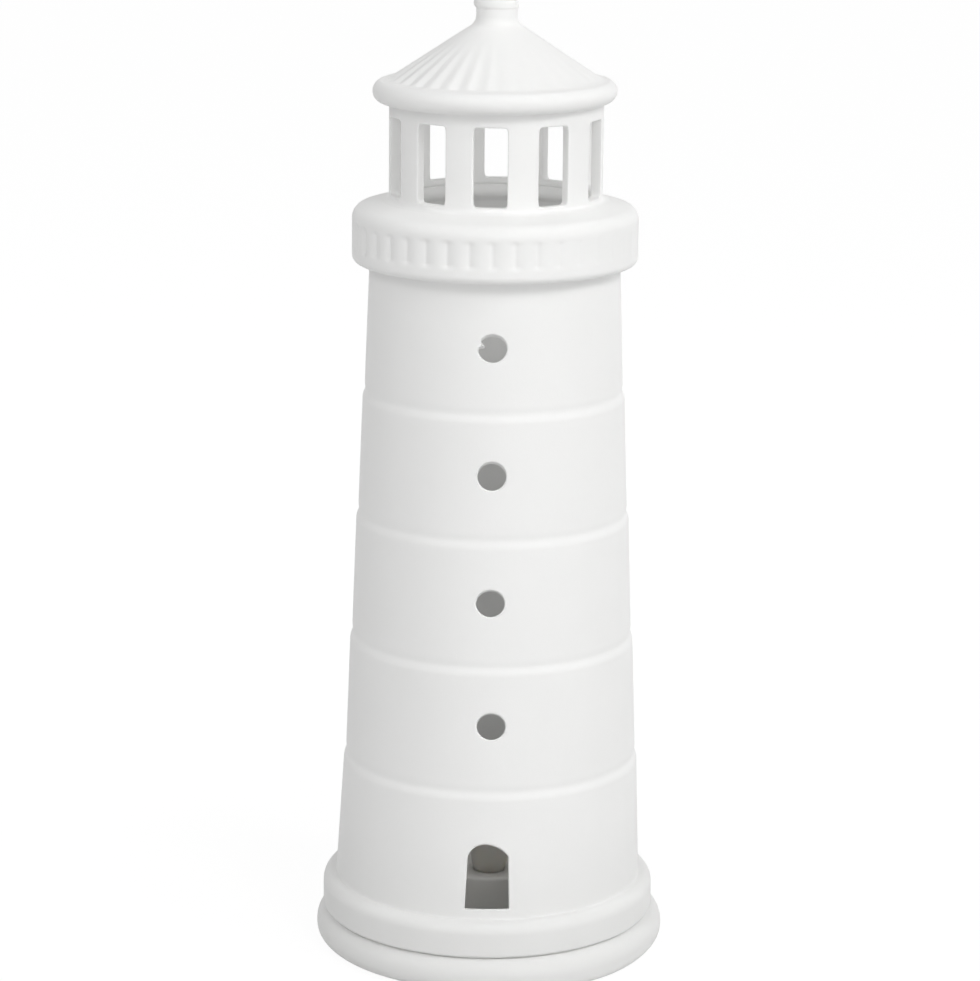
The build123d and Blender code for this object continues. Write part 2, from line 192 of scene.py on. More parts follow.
def rounded(corners: Sequence[Corner], closed: bool = False, steps: int = 6) -> Array:
    """A profile of straight sides with rounded corners.

    The arc at a corner touches both sides. With h for half the angle between them, it starts
    rounding / tan(h) along each side, and its centre lies rounding / sin(h) along the bisector.

    Args:
        corners: radius, height and rounding of each corner, in order.
        closed: True if the last corner joins the first, which is then repeated at the end.
        steps: the number of runs in each arc.

    Returns:
        An array of radius and height.
    """
    places = np.array([corner[:2] for corner in corners])
    runs = []
    for index, (_, _, rounding) in enumerate(corners):
        here = places[index]
        is_end = index in (0, len(corners) - 1)
        if rounding == 0.0 or (is_end and not closed):
            runs.append(here[None, :])
            continue
        back = places[index - 1] - here
        ahead = places[(index + 1) % len(corners)] - here
        back /= np.linalg.norm(back)
        ahead /= np.linalg.norm(ahead)
        half = math.acos(float(back @ ahead)) / 2.0
        bisector = (back + ahead) / np.linalg.norm(back + ahead)
        centre = here + bisector * rounding / math.sin(half)
        first = here + back * rounding / math.tan(half) - centre
        last = here + ahead * rounding / math.tan(half) - centre
        sweep = math.pi - 2.0 * half
        share = np.linspace(0.0, 1.0, steps + 1)[:, None]
        arc = np.sin((1.0 - share) * sweep) * first + np.sin(share * sweep) * last
        runs.append(centre + arc / math.sin(sweep))
    profile = np.concatenate(runs)
    return np.concatenate((profile, profile[:1])) if closed else profile


def bezier(controls: Sequence[tuple[float, float]], steps: int) -> Array:
    """A Bezier curve: the controls weighted by the terms of (1 - t + t)^n.

    Args:
        controls: the control points, each a radius and a height.
        steps: the number of runs along the curve.

    Returns:
        The points of the curve.
    """
    degree = len(controls) - 1
    share = np.linspace(0.0, 1.0, steps + 1)[:, None]
    power = np.arange(degree + 1)
    choose = np.array([math.comb(degree, int(term)) for term in power])
    weights = choose * share**power * (1.0 - share) ** (degree - power)
    return weights @ np.array(controls)


def divided(profile: Array, longest: float) -> Array:
    """The profile with its long runs divided evenly.

    Args:
        profile: points of the profile.
        longest: the greatest length that a run may keep.

    Returns:
        The profile with its old points and the new ones between them.
    """
    lengths = np.linalg.norm(np.diff(profile, axis=0), axis=1)
    parts = np.maximum(1, np.ceil(lengths / longest)).astype(int)
    stations = np.concatenate(([0.0], np.cumsum(1.0 / np.repeat(parts, parts))))
    index = np.arange(len(profile))
    columns = [np.interp(stations, index, profile[:, axis]) for axis in (0, 1)]
    return np.stack(columns, axis=1)


def lathe(profile: Array, bearings: Array) -> Array:
    """A profile turned round the axis, as a grid of rows along it and columns round it."""
    return on_tower(profile[:, :1], bearings[None, :], profile[:, 1:])


def fired(points: Array) -> Array:
    """The slight warp that porcelain takes in the kiln.

    Each point moves out from the axis by a share of its radius, a sum of three slow cosine waves
    round the tower that also drift with height.

    Args:
        points: points of a porcelain surface.

    Returns:
        The warped points.
    """
    bearing = bearing_of(points)
    swell = np.ones(len(points))
    for share, lobes, drift, phase in KILN_WAVES:
        swell += share * np.cos(lobes * bearing + drift * points[:, 2] + phase)
    return points * np.stack((swell, swell, np.ones(len(points))), axis=1)


def linked(name: str, data: bpy.types.ID) -> bpy.types.Object:
    """A new object with its data, linked to the scene."""
    made = bpy.data.objects.new(name, data)
    bpy.context.scene.collection.objects.link(made)
    return made


class Patchwork:
    """Grids of points that are sewn into one closed mesh."""

    def __init__(self) -> None:
        """Starts with no grids."""
        self.points: list[Array] = []
        self.quads: list[Array] = []
        self.count = 0

    def add(self, grid: Array, keep: Array | None = None) -> None:
        """Adds a grid whose last column joins its first.

        Args:
            grid: points in rows and columns.
            keep: which cells have a face, by row and column, or None for all of them.
        """
        rows, columns = grid.shape[:2]
        index = self.count + np.arange(rows * columns).reshape(rows, columns)
        beside = np.roll(index, -1, axis=1)
        quads = np.stack((index[:-1], beside[:-1], beside[1:], index[1:]), axis=-1)
        self.points.append(grid.reshape(-1, 3))
        self.quads.append(quads.reshape(-1, 4) if keep is None else quads[keep])
        self.count += rows * columns

    def sew(self, name: str, settle: Callable[[Array], Array] | None = None) -> bpy.types.Object:
        """Welds points that coincide and makes the object.

        A quad that meets a pole loses its doubled corner and becomes a triangle.

        Args:
            name: name of the piece.
            settle: moves the welded points, or None.

        Returns:
            The object, at the origin, with its place in its mesh.
        """
        points = np.concatenate(self.points)
        quads = np.concatenate(self.quads)
        cells = np.round(points / WELD).astype(np.int64)
        _, first, place = np.unique(cells, axis=0, return_index=True, return_inverse=True)
        quads = place.reshape(-1)[quads]
        distinct = quads != np.roll(quads, -1, axis=1)
        sides = distinct.sum(axis=1)
        corners = quads[distinct & (sides >= 3)[:, None]]
        sides = sides[sides >= 3]
        used, corners = np.unique(corners, return_inverse=True)
        points = points[first[used]]
        if settle is not None:
            points = settle(points)

        mesh = bpy.data.meshes.new(name)
        mesh.vertices.add(len(points))
        mesh.vertices.foreach_set("co", points.astype(np.float32).ravel())
        mesh.loops.add(len(corners))
        mesh.loops.foreach_set("vertex_index", corners.astype(np.int32).ravel())
        mesh.polygons.add(len(sides))
        starts = np.concatenate(([0], np.cumsum(sides)[:-1]))
        mesh.polygons.foreach_set("loop_start", starts.astype(np.int32))
        mesh.polygons.foreach_set("use_smooth", np.ones(len(sides), dtype=bool))
        mesh.update(calc_edges=True)
        LOG.info("%s: %d points, %d faces", name, len(points), len(sides))
        return linked(name, mesh)


def lathed_piece(
    name: str, grid: Array, settle: Callable[[Array], Array] | None = None
) -> bpy.types.Object:
    """One closed grid, sewn into a piece."""
    patchwork = Patchwork()
    patchwork.add(grid)
    return patchwork.sew(name, settle)


# Openings that are cut straight through a wall


def loop_share(across: int, up: int, gather: bool = False) -> Array:
    """Places along the four sides of a loop.

    The sill runs from 0 to 1, the right side to 2, the top to 3 and the left side to 4.

    Args:
        across: the number of runs in the sill and in the top.
        up: the number of runs in each upright side.
        gather: True to draw the places towards the corners, by (1 - cos(pi t)) / 2.

    Returns:
        The places, without the last one, which is the first again.
    """
    sides = []
    for side, runs in enumerate((across, up, across, up)):
        share = np.arange(runs) / runs
        if gather:
            share = (1.0 - np.cos(math.pi * share)) / 2.0
        sides.append(side + share)
    return np.concatenate(sides)


def along_sides(corners: Array, place: Array) -> Array:
    """Points at places along the straight sides of a loop with four corners."""
    side = place.astype(int)
    share = (place - side)[:, None]
    return corners[side] * (1.0 - share) + corners[(side + 1) % 4] * share


@dataclass(frozen=True)
class Burr:
    """A crumb of clay left standing in a round window's edge."""

    bearing: float = math.radians(163.0)
    spread: float = math.radians(10.0)
    reach: float = 1.5 * MM


def round_outline(
    x: float, z: float, radius: float, tallness: float = 1.0, burr: Burr | None = None
) -> Outline:
    """An ellipse whose quarters answer to the four sides of a loop.

    Args:
        x: centre across the wall.
        z: centre's height.
        radius: half the ellipse's width.
        tallness: its height as a share of its width.
        burr: a bell-shaped crumb that reaches in from the edge, or None.

    Returns:
        A function that gives the outline for a number of runs across and up.
    """

    def outline(across: int, up: int) -> Array:
        """The ellipse's points, from the lower left quarter on."""
        angle = math.radians(225.0) + loop_share(across, up) * math.pi / 2.0
        reach = np.full(len(angle), radius)
        if burr is not None:
            reach -= burr.reach * bell(half_turn(angle - burr.bearing), burr.spread)
        across_wall = x + reach * np.cos(angle)
        return np.stack((across_wall, z + tallness * reach * np.sin(angle)), axis=1)

    return outline


@dataclass(frozen=True)
class DoorShape:
    """The doorway: a sill, two jambs that lean in and a low pointed arch."""

    sill_width: float = 11.2 * MM
    spring_width: float = 10.2 * MM
    height: float = 17.2 * MM
    arch_rise: float = 3.2 * MM
    arch_bulge: float = 0.78 * MM
    apex_shift: float = -1.0 * MM

    def outline(self, sill_z: float) -> Outline:
        """The doorway's outline on a sill at a height.

        Each half of the arch is its chord, bowed out by 4 b t (1 - t).

        Args:
            sill_z: height of the sill.

        Returns:
            A function that gives the outline for a number of runs across and up.
        """
        spring_z = sill_z + self.height - self.arch_rise
        sill = self.sill_width / 2.0
        spring = self.spring_width / 2.0
        corners = np.array(
            [(-sill, sill_z), (sill, sill_z), (spring, spring_z), (-spring, spring_z)]
        )
        apex = np.array([self.apex_shift, sill_z + self.height])

        def outline(across: int, up: int) -> Array:
            """The doorway's points, from the left end of the sill on."""
            place = loop_share(across, up)
            points = along_sides(corners, place)
            top = place.astype(int) == 2
            share = place[top, None] - 2.0
            half = (share >= 0.5).astype(float)
            along = share * 2.0 - half
            start = corners[2] * (1.0 - half) + apex * half
            end = apex * (1.0 - half) + corners[3] * half
            chord = end - start
            bow = 4.0 * self.arch_bulge * along * (1.0 - along)
            points[top] = start + chord * along + normals(chord) * bow
            return points

        return outline


def upright_outline(width: float, low: float, high: float, squareness: float) -> Outline:
    """A tall window with softened corners, the superellipse |u|^n + |v|^n = 1.

    Args:
        width: width of the window.
        low: height of its sill.
        high: height of its lintel.
        squareness: the power n. A larger one makes a sharper corner.

    Returns:
        A function that gives the outline for a number of runs across and up.
    """
    square = np.array([(-1.0, -1.0), (1.0, -1.0), (1.0, 1.0), (-1.0, 1.0)])
    scale = np.array([width / 2.0, (high - low) / 2.0])
    centre = np.array([0.0, (low + high) / 2.0])

    def outline(across: int, up: int) -> Array:
        """The window's points, from the left end of the sill on."""
        points = along_sides(square, loop_share(across, up, gather=True))
        powers = (np.abs(points) ** squareness).sum(axis=1, keepdims=True)
        return centre + scale * points / powers ** (1.0 / squareness)

    return outline


@dataclass(frozen=True)
class Opening:
    """A hole through a wall, and the block of the wall's grid that gives way to it.

    The hole may be cut at a slant, so that it comes out lower inside by its drop. The block has a
    bearing, and the hole may lie to one side of it by its shift.
    """

    outline: Outline
    half_width: float
    low: float
    high: float
    bearing: float = 0.0
    shift: float = 0.0
    drop: float = 0.0


@dataclass
class PiercedWall:
    """A round wall with openings.

    The wall's profile runs up the outside and down the inside. At an opening, a block of cells is
    left out of both faces. Rings of points close the gap: from the block's edge over the outer
    face, round a rolled lip, straight through the wall, round the inner lip and over the inner
    face.
    """

    outer: Array
    inner: Array
    bearings: Array
    openings: list[Opening]
    outer_radius: Callable[[Array], Array]
    inner_radius: Callable[[Array], Array]
    lip: float
    settle: Callable[[Array], Array] = fired
    lip_steps: int = 5
    face_steps: int = 4
    wall_steps: int = 3

    def build(self, name: str) -> bpy.types.Object:
        """Sews the wall and its openings into one piece."""
        profile = np.concatenate((self.outer, self.inner, self.outer[:1]))
        grid = lathe(profile, self.bearings)
        keep = np.ones((len(profile) - 1, len(self.bearings)), dtype=bool)
        patchwork = Patchwork()
        for opening in self.openings:
            away = self.bearings - opening.bearing
            left = int(np.argmin(np.abs(away + opening.half_width)))
            right = int(np.argmin(np.abs(away - opening.half_width)))
            outside = self._rows(self.outer, opening, 0)
            inside = self._rows(self.inner, opening, len(self.outer))
            for low, high in (outside, inside):
                keep[min(low, high) : max(low, high), left:right] = False
            edges = [self._edge(grid, *rows, left, right) for rows in (outside, inside)]
            up = abs(outside[1] - outside[0])
            patchwork.add(self._passage(opening, *edges, right - left, up))
        patchwork.add(grid, keep)
        return patchwork.sew(name, self.settle)

    @staticmethod
    def _rows(face: Array, opening: Opening, offset: int) -> tuple[int, int]:
        """The rows of a face at the foot and at the head of an opening's block."""
        low = int(np.argmin(np.abs(face[:, 1] - opening.low)))
        high = int(np.argmin(np.abs(face[:, 1] - opening.high)))
        return low + offset, high + offset

    @staticmethod
    def _edge(grid: Array, low: int, high: int, left: int, right: int) -> Array:
        """The points round a block, anticlockwise from outside, from its lower left corner."""
        step = 1 if high > low else -1
        foot = grid[low, left:right]
        far_side = grid[low:high:step, right]
        head = grid[high, right:left:-1]
        near_side = grid[high:low:-step, left]
        return np.concatenate((foot, far_side, head, near_side))

    def _passage(
        self, opening: Opening, outer: Array, inner: Array, across: int, up: int
    ) -> Array:
        """The rings of points through one opening.

        A lip is a quarter circle: at angle a it stands lip (1 - sin a) out from the outline and
        lip (1 - cos a) deep in the wall.

        Args:
            opening: the opening.
            outer: edge of its block on the outer face.
            inner: edge of its block on the inner face.
            across: runs across the block.
            up: runs up the block.

        Returns:
            The rings as a grid, from the outer edge to the inner one.
        """
        outline = opening.outline(across, up)
        out = normals(np.roll(outline, -1, axis=0) - np.roll(outline, 1, axis=0))
        angle = np.linspace(0.0, math.pi / 2.0, self.lip_steps + 1)[:, None]
        edge = outline + self.lip * (1.0 - np.sin(angle))[..., None] * out
        depth = self.lip * (1.0 - np.cos(angle))
        share = np.linspace(0.0, 1.0, self.face_steps, endpoint=False)[1:, None, None]

        faces = []
        sides = (
            (outer, self.outer_radius, 1.0, 0.0),
            (inner, self.inner_radius, -1.0, opening.drop),
        )
        sunk = np.zeros((len(share) + len(depth), len(outline)))
        sunk[len(share) :] = depth
        for block, radius, side, drop in sides:
            flat = turned(block, -opening.bearing - opening.shift)[:, [0, 2]]
            cut = edge - np.array([0.0, drop])
            spread = np.concatenate((flat * (1.0 - share) + cut[0] * share, cut))
            x, z = spread[..., 0], spread[..., 1]
            y = side * sunk - np.sqrt(radius(z) ** 2 - x**2)
            faces.append(turned(np.stack((x, y, z), axis=-1), opening.bearing + opening.shift))
        through = np.linspace(0.0, 1.0, self.wall_steps + 1)[1:-1, None, None]
        wall = faces[0][-1] * (1.0 - through) + faces[1][-1] * through
        return np.concatenate((outer[None], faces[0], wall, faces[1][::-1], inner[None]))


# Shader nodes


class Wire:
    """A value that flows between shader nodes. Sums and products of it add Math nodes."""

    def __init__(self, recipe: Recipe, socket: bpy.types.NodeSocket) -> None:
        """Holds an output socket of a recipe's node."""
        self.recipe = recipe
        self.socket = socket

    def _math(self, operation: str, left: Any, right: Any) -> Wire:
        """One Math node on two values."""
        return self.recipe.node("ShaderNodeMath", {"operation": operation}, {0: left, 1: right})

    def __add__(self, other: Any) -> Wire:
        """Adds a value or a wire."""
        return self._math("ADD", self, other)

    def __radd__(self, other: Any) -> Wire:
        """Is added to a value."""
        return self._math("ADD", other, self)

    def __mul__(self, other: Any) -> Wire:
        """Multiplies by a value or a wire."""
        return self._math("MULTIPLY", self, other)

    def least(self, other: Any) -> Wire:
        """The smaller of this and another value."""
        return self._math("MINIMUM", self, other)


class Recipe:
    """The nodes of one material or of the world."""

    def __init__(self, owner: bpy.types.Material | bpy.types.World) -> None:
        """Empties the owner's node tree."""
        owner.use_nodes = True
        self.tree = owner.node_tree
        self.tree.nodes.clear()

    def node(
        self,
        kind: str,
        settings: dict[str, Any] | None = None,
        inputs: dict[int | str, Any] | None = None,
        output: int | str = 0,
    ) -> Wire:
        """Adds a node.

        Args:
            kind: the node's type.
            settings: its settings, which are set first.
            inputs: values or wires for its input sockets, by index or name.
            output: the output socket that the wire starts from.

        Returns:
            A wire from the node, or from its first input where it has no outputs.
        """
        made = self.tree.nodes.new(kind)
        for key, value in (settings or {}).items():
            setattr(made, key, value)
        for key, value in (inputs or {}).items():
            if isinstance(value, Wire):
                self.tree.links.new(value.socket, made.inputs[key])
            else:
                made.inputs[key].default_value = value
        return Wire(self, made.outputs[output] if made.outputs else made.inputs[0])

    def place(self) -> Wire:
        """Object coordinates, in metres."""
        return self.node("ShaderNodeTexCoord", output="Object")

    def height_of(self, vector: Wire) -> Wire:
        """The vertical part of a vector."""
        return self.node("ShaderNodeSeparateXYZ", None, {0: vector}, "Z")

    def length_of(self, vector: Wire) -> Wire:
        """The length of a vector."""
        return self.node("ShaderNodeVectorMath", {"operation": "LENGTH"}, {0: vector}, "Value")

    def noise(self, place: Wire, feature: float, detail: float = 2.0) -> Wire:
        """Soft noise from 0 to 1 whose features have a size in metres."""
        inputs = {"Vector": place, "Scale": 1.0 / feature, "Detail": detail, "Roughness": 0.55}
        return self.node("ShaderNodeTexNoise", None, inputs, "Fac")

    def blend(self, factor: Wire, first: tuple[float, ...], second: tuple[float, ...]) -> Wire:
        """A colour between two colours."""
        inputs = {"Factor": factor, 6: (*first, 1.0), 7: (*second, 1.0)}
        return self.node("ShaderNodeMix", {"data_type": "RGBA"}, inputs, 2)

    def bump(self, height: Wire, strength: float, depth: float) -> Wire:
        """A normal from a height between 0 and 1, with a depth in metres."""
        inputs = {"Strength": strength, "Distance": depth, "Height": height}
        return self.node("ShaderNodeBump", None, inputs)

    def coat(self, inputs: dict[int | str, Any]) -> None:
        """Ends the recipe in one Principled shader."""
        shader = self.node("ShaderNodeBsdfPrincipled", None, inputs)
        self.node("ShaderNodeOutputMaterial", None, {"Surface": shader})


# Finishes


@dataclass(frozen=True)
class Finish:
    """A finish of one of the record's slots. Each kind writes its own recipe."""

    slot: Slot

    def write(self, recipe: Recipe) -> None:
        """Writes the finish's nodes."""
        raise NotImplementedError

    def material(self) -> bpy.types.Material:
        """The material of this finish, made on first use."""
        name = f"{self.slot.value}_finish"
        found = bpy.data.materials.get(name)
        if found is None:
            found = bpy.data.materials.new(name)
            self.write(Recipe(found))
        return found

    def paint(self, piece: bpy.types.Object) -> None:
        """Puts the finish on a piece in place of what it had."""
        piece.data.materials.clear()
        piece.data.materials.append(self.material())


@dataclass(frozen=True)
class Bisque(Finish):
    """Unglazed porcelain: chalk white, faintly clouded, with a fine grain and hand-smoothed waves.

    It is painted a little greyer towards the foot, as painted shade for the dimmer light low on the
    tower.
    """

    slot: Slot = Slot.PORCELAIN
    bright: tuple[float, float, float] = (0.885, 0.885, 0.878)
    # The grey is both the clouds' darker tone and the painted shade at the foot.
    cloud_and_shade_grey: tuple[float, float, float] = (0.76, 0.76, 0.75)
    # Painted shade: between these heights the base colour greys towards the foot.
    foot_shade_low: float = 2.0 * MM
    foot_shade_high: float = 44.0 * MM
    roughness: float = 0.62
    cloud_size: float = 21.0 * MM
    grain_size: float = 0.35 * MM
    wave_size: float = 9.0 * MM
    relief: float = 0.16 * MM
    foot_shade_weight: float = 0.68
    cloud_weight: float = 0.2
    grain_weight: float = 0.08
    least_white: float = 0.08
    wave_share: float = 0.7
    roughness_swing: float = 0.1
    gloss: float = 0.35
    bump: float = 0.35

    def write(self, recipe: Recipe) -> None:
        """Clouds and painted shade at the foot tint the base, and grain over slow waves makes the
        relief.
        """
        place = recipe.place()
        clouds = recipe.noise(place, self.cloud_size, 4.0)
        grain = recipe.noise(place, self.grain_size, 3.0)
        waves = recipe.noise(place, self.wave_size, 1.0)
        rise = recipe.height_of(place)
        span = {"Value": rise, "From Min": self.foot_shade_low, "From Max": self.foot_shade_high}
        # Painted shade: 0 at the foot and 1 above the span, greying the colour low down.
        clear_of_foot_shade = recipe.node("ShaderNodeMapRange", {"interpolation_type": "SMOOTHSTEP"}, span)
        # The clouds are the porcelain's own tone; the foot term is painted shade.
        clouds_and_foot_shade = clear_of_foot_shade * self.foot_shade_weight + clouds * self.cloud_weight
        whiteness = clouds_and_foot_shade + grain * self.grain_weight + self.least_white
        height = waves * self.wave_share + grain * (1.0 - self.wave_share)
        least_rough = self.roughness - self.roughness_swing / 2.0
        recipe.coat(
            {
                "Base Color": recipe.blend(whiteness, self.cloud_and_shade_grey, self.bright),
                "Roughness": least_rough + grain * self.roughness_swing,
                "Specular IOR Level": self.gloss,
                "Normal": recipe.bump(height, self.bump, self.relief),
            }
        )


@dataclass(frozen=True)
class Moulded(Finish):
    """Moulded plastic with a satin spark-eroded skin."""

    slot: Slot = Slot.CUP_PLASTIC
    pale: tuple[float, float, float] = (0.9, 0.89, 0.86)
    deep: tuple[float, float, float] = (0.86, 0.845, 0.81)
    roughness: float = 0.38
    skin_size: float = 0.22 * MM
    flow_size: float = 14.0 * MM
    subsurface: float = 0.0
    transmission: float = 0.0
    relief: float = 0.04 * MM
    scatter: tuple[float, float, float] = (3.0 * MM, 2.0 * MM, 1.0 * MM)
    roughness_swing: float = 0.12
    bump: float = 0.25

    def write(self, recipe: Recipe) -> None:
        """Slow flow marks tint the base, and a fine skin gives the gloss and the relief."""
        place = recipe.place()
        flow = recipe.noise(place, self.flow_size, 2.0)
        skin = recipe.noise(place, self.skin_size, 2.0)
        least_rough = self.roughness - self.roughness_swing / 2.0
        recipe.coat(
            {
                "Base Color": recipe.blend(flow, self.deep, self.pale),
                "Roughness": least_rough + skin * self.roughness_swing,
                "Subsurface Weight": self.subsurface,
                "Subsurface Radius": self.scatter,
                "Transmission Weight": self.transmission,
                "Normal": recipe.bump(skin, self.bump, self.relief),
            }
        )


@dataclass(frozen=True)
class Epoxy(Finish):
    """The clear lens of a light-emitting diode, with a slight haze."""

    slot: Slot = Slot.LED_EPOXY
    clear: tuple[float, float, float] = (0.95, 0.91, 0.78)
    hazy: tuple[float, float, float] = (0.9, 0.84, 0.66)
    haze_size: float = 1.6 * MM
    least_rough: float = 0.05
    roughness_swing: float = 0.1
    transmission: float = 0.7
    index: float = 1.54

    def write(self, recipe: Recipe) -> None:
        """Haze tints the base and dulls the gloss."""
        haze = recipe.noise(recipe.place(), self.haze_size, 3.0)
        recipe.coat(
            {
                "Base Color": recipe.blend(haze, self.clear, self.hazy),
                "Roughness": self.least_rough + haze * self.roughness_swing,
                "Transmission Weight": self.transmission,
                "IOR": self.index,
            }
        )


@dataclass(frozen=True)
class BrushedSteel(Finish):
    """Steel with brush marks: straight ones along a strip, or rings round the tower's axis."""

    slot: Slot = Slot.SPRING_STEEL
    bright: tuple[float, float, float] = (0.76, 0.75, 0.73)
    dull: tuple[float, float, float] = (0.62, 0.61, 0.58)
    mark_size: float = 0.12 * MM
    is_turned: bool = False
    along: float = 0.05
    tarnish_size: float = 3.0 * MM
    least_rough: float = 0.22
    roughness_swing: float = 0.2
    bump: float = 0.2
    relief: float = 0.02 * MM

    def write(self, recipe: Recipe) -> None:
        """Marks are noise stretched along the brushing, read by radius or by place."""
        place = recipe.place()
        if self.is_turned:
            level = {0: place, 1: (1, 1, 0)}
            flat = recipe.node("ShaderNodeVectorMath", {"operation": "MULTIPLY"}, level)
            lines = recipe.node("ShaderNodeCombineXYZ", None, {"X": recipe.length_of(flat)})
        else:
            stretch = {"Vector": place, "Scale": (self.along, 1.0, 1.0)}
            lines = recipe.node("ShaderNodeMapping", None, stretch)
        marks = recipe.noise(lines, self.mark_size, 3.0)
        tarnish = recipe.noise(place, self.tarnish_size, 3.0)
        recipe.coat(
            {
                "Base Color": recipe.blend(marks * 0.5 + tarnish * 0.5, self.dull, self.bright),
                "Metallic": 1.0,
                "Roughness": self.least_rough + marks * self.roughness_swing,
                "Normal": recipe.bump(marks, self.bump, self.relief),
            }
        )


@dataclass(frozen=True)
class SolderMask(Finish):
    """Green lacquer over a woven glass board."""

    slot: Slot = Slot.BOARD
    green: tuple[float, float, float] = (0.06, 0.27, 0.12)
    pale: tuple[float, float, float] = (0.1, 0.36, 0.17)
    weave: float = 0.5 * MM
    waviness: float = 0.4
    weave_share: float = 0.6
    stain_size: float = 4.0 * MM
    least_rough: float = 0.28
    roughness_swing: float = 0.15
    lacquer: float = 0.4
    bump: float = 0.2
    relief: float = 0.03 * MM

    def write(self, recipe: Recipe) -> None:
        """The weave is two crossed sets of bands that show through the lacquer."""
        place = recipe.place()
        bands = []
        for direction in ("X", "Y"):
            settings = {"wave_type": "BANDS", "bands_direction": direction}
            scale = 1.0 / self.weave / 3.0
            inputs = {"Vector": place, "Scale": scale, "Distortion": self.waviness}
            bands.append(recipe.node("ShaderNodeTexWave", settings, inputs, "Fac"))
        weave = bands[0] * 0.5 + bands[1] * 0.5
        stain = recipe.noise(place, self.stain_size, 2.0)
        tint = weave * self.weave_share + stain * (1.0 - self.weave_share)
        recipe.coat(
            {
                "Base Color": recipe.blend(tint, self.green, self.pale),
                "Roughness": self.least_rough + stain * self.roughness_swing,
                "Coat Weight": self.lacquer,
                "Normal": recipe.bump(weave, self.bump, self.relief),
            }
        )


BISQUE = Bisque()
CUP_PLASTIC = Moulded()
FLAME_PLASTIC = Moulded(
    Slot.FLAME_PLASTIC,
    pale=(0.93, 0.915, 0.87),
    deep=(0.9, 0.88, 0.82),
    roughness=0.45,
    subsurface=0.3,
    transmission=0.25,
)
BLACK_PLASTIC = Moulded(
    Slot.BLACK_PLASTIC, pale=(0.065, 0.065, 0.067), deep=(0.045, 0.045, 0.046), roughness=0.5
)
LED_EPOXY = Epoxy()
SPRING_STEEL = BrushedSteel()
CELL_STEEL = BrushedSteel(
    Slot.CELL_STEEL, bright=(0.8, 0.8, 0.79), dull=(0.68, 0.68, 0.67), is_turned=True
)
SOLDER_MASK = SolderMask()


# The porcelain


def settle_piece(piece: bpy.types.Object, body: Body, node: str, finish: Finish) -> None:
    """Paints a new piece, seats it on its body and lets it stand for its node."""
    finish.paint(piece)
    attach(piece, body.value)
    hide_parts(node)


@dataclass
class BaseDish:
    """The round dish that the tower stands on, with the tealight's well and a locating rim."""

    node: str = "base_dish"
    top_round: float = 4.8 * MM
    bottom_round: float = 3.3 * MM
    foot_width: float = 6.0 * MM
    hollow: float = 1.8 * MM
    well_z: float = 4.1 * MM
    tray_z: float = 6.0 * MM
    locator_wall: float = 2.4 * MM
    locator_inset: float = 6.55 * MM
    locator_slack: float = 0.8 * MM
    locator_round: float = 0.8 * MM
    tray_round: float = 1.2 * MM
    well_clearance: float = 0.7 * MM
    soft_edge: float = 0.5 * MM
    fullness: float = 0.5
    full_bearing: float = math.radians(38.0)
    full_reach: float = math.radians(24.0)
    longest_run: float = 2.0 * MM
    columns: int = 288

    def build(self) -> None:
        """Turns the dish's profile, from the middle of its underside to the middle of its well."""
        low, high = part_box(self.node)
        radius = high.x
        shaft_low, shaft_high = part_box("tower_shaft")
        seat_z = shaft_low.z
        locator = shaft_high.x - self.locator_inset - self.locator_slack
        locator_bore = locator - self.locator_wall
        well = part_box("tealight_cup")[1].x + self.well_clearance
        foot = radius - self.bottom_round - self.foot_width
        soft = self.soft_edge
        profile = rounded(
            [
                (0.0, self.hollow, 0.0),
                (foot, self.hollow, soft),
                (foot, low.z, soft),
                (radius, low.z, self.bottom_round),
                (radius, seat_z, self.top_round),
                (locator, seat_z, soft),
                (locator, high.z, self.locator_round),
                (locator_bore, high.z, self.locator_round),
                (locator_bore, self.tray_z, self.tray_round),
                (well, self.tray_z, soft),
                (well, self.well_z, soft),
                (0.0, self.well_z, 0.0),
            ],
            steps=8,
        )
        grid = lathe(divided(profile, self.longest_run), even_bearings(self.columns))
        piece = lathed_piece("porcelain_dish", grid, self.filled)
        settle_piece(piece, Body.DISH, self.node, BISQUE)

    def filled(self, points: Array) -> Array:
        """The fired dish, whose lower edge is less rounded on the right of the door.

        Round a bearing the lower edge's arc shrinks towards its corner, by a bell curve.

        Args:
            points: points of the dish.

        Returns:
            The points, with those of the arc moved.
        """
        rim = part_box(self.node)[1].x
        radius = np.linalg.norm(points[:, :2], axis=1)
        is_arc = (radius > rim - self.bottom_round) & (points[:, 2] < self.bottom_round)
        share = self.fullness * bell(bearing_of(points) - self.full_bearing, self.full_reach)
        scale = np.where(is_arc, 1.0 - share, 1.0)
        out = (rim - (rim - radius) * scale) / np.maximum(radius, WELD)
        moved = points.copy()
        moved[is_arc, :2] *= out[is_arc, None]
        moved[:, 2] *= scale
        return fired(moved)


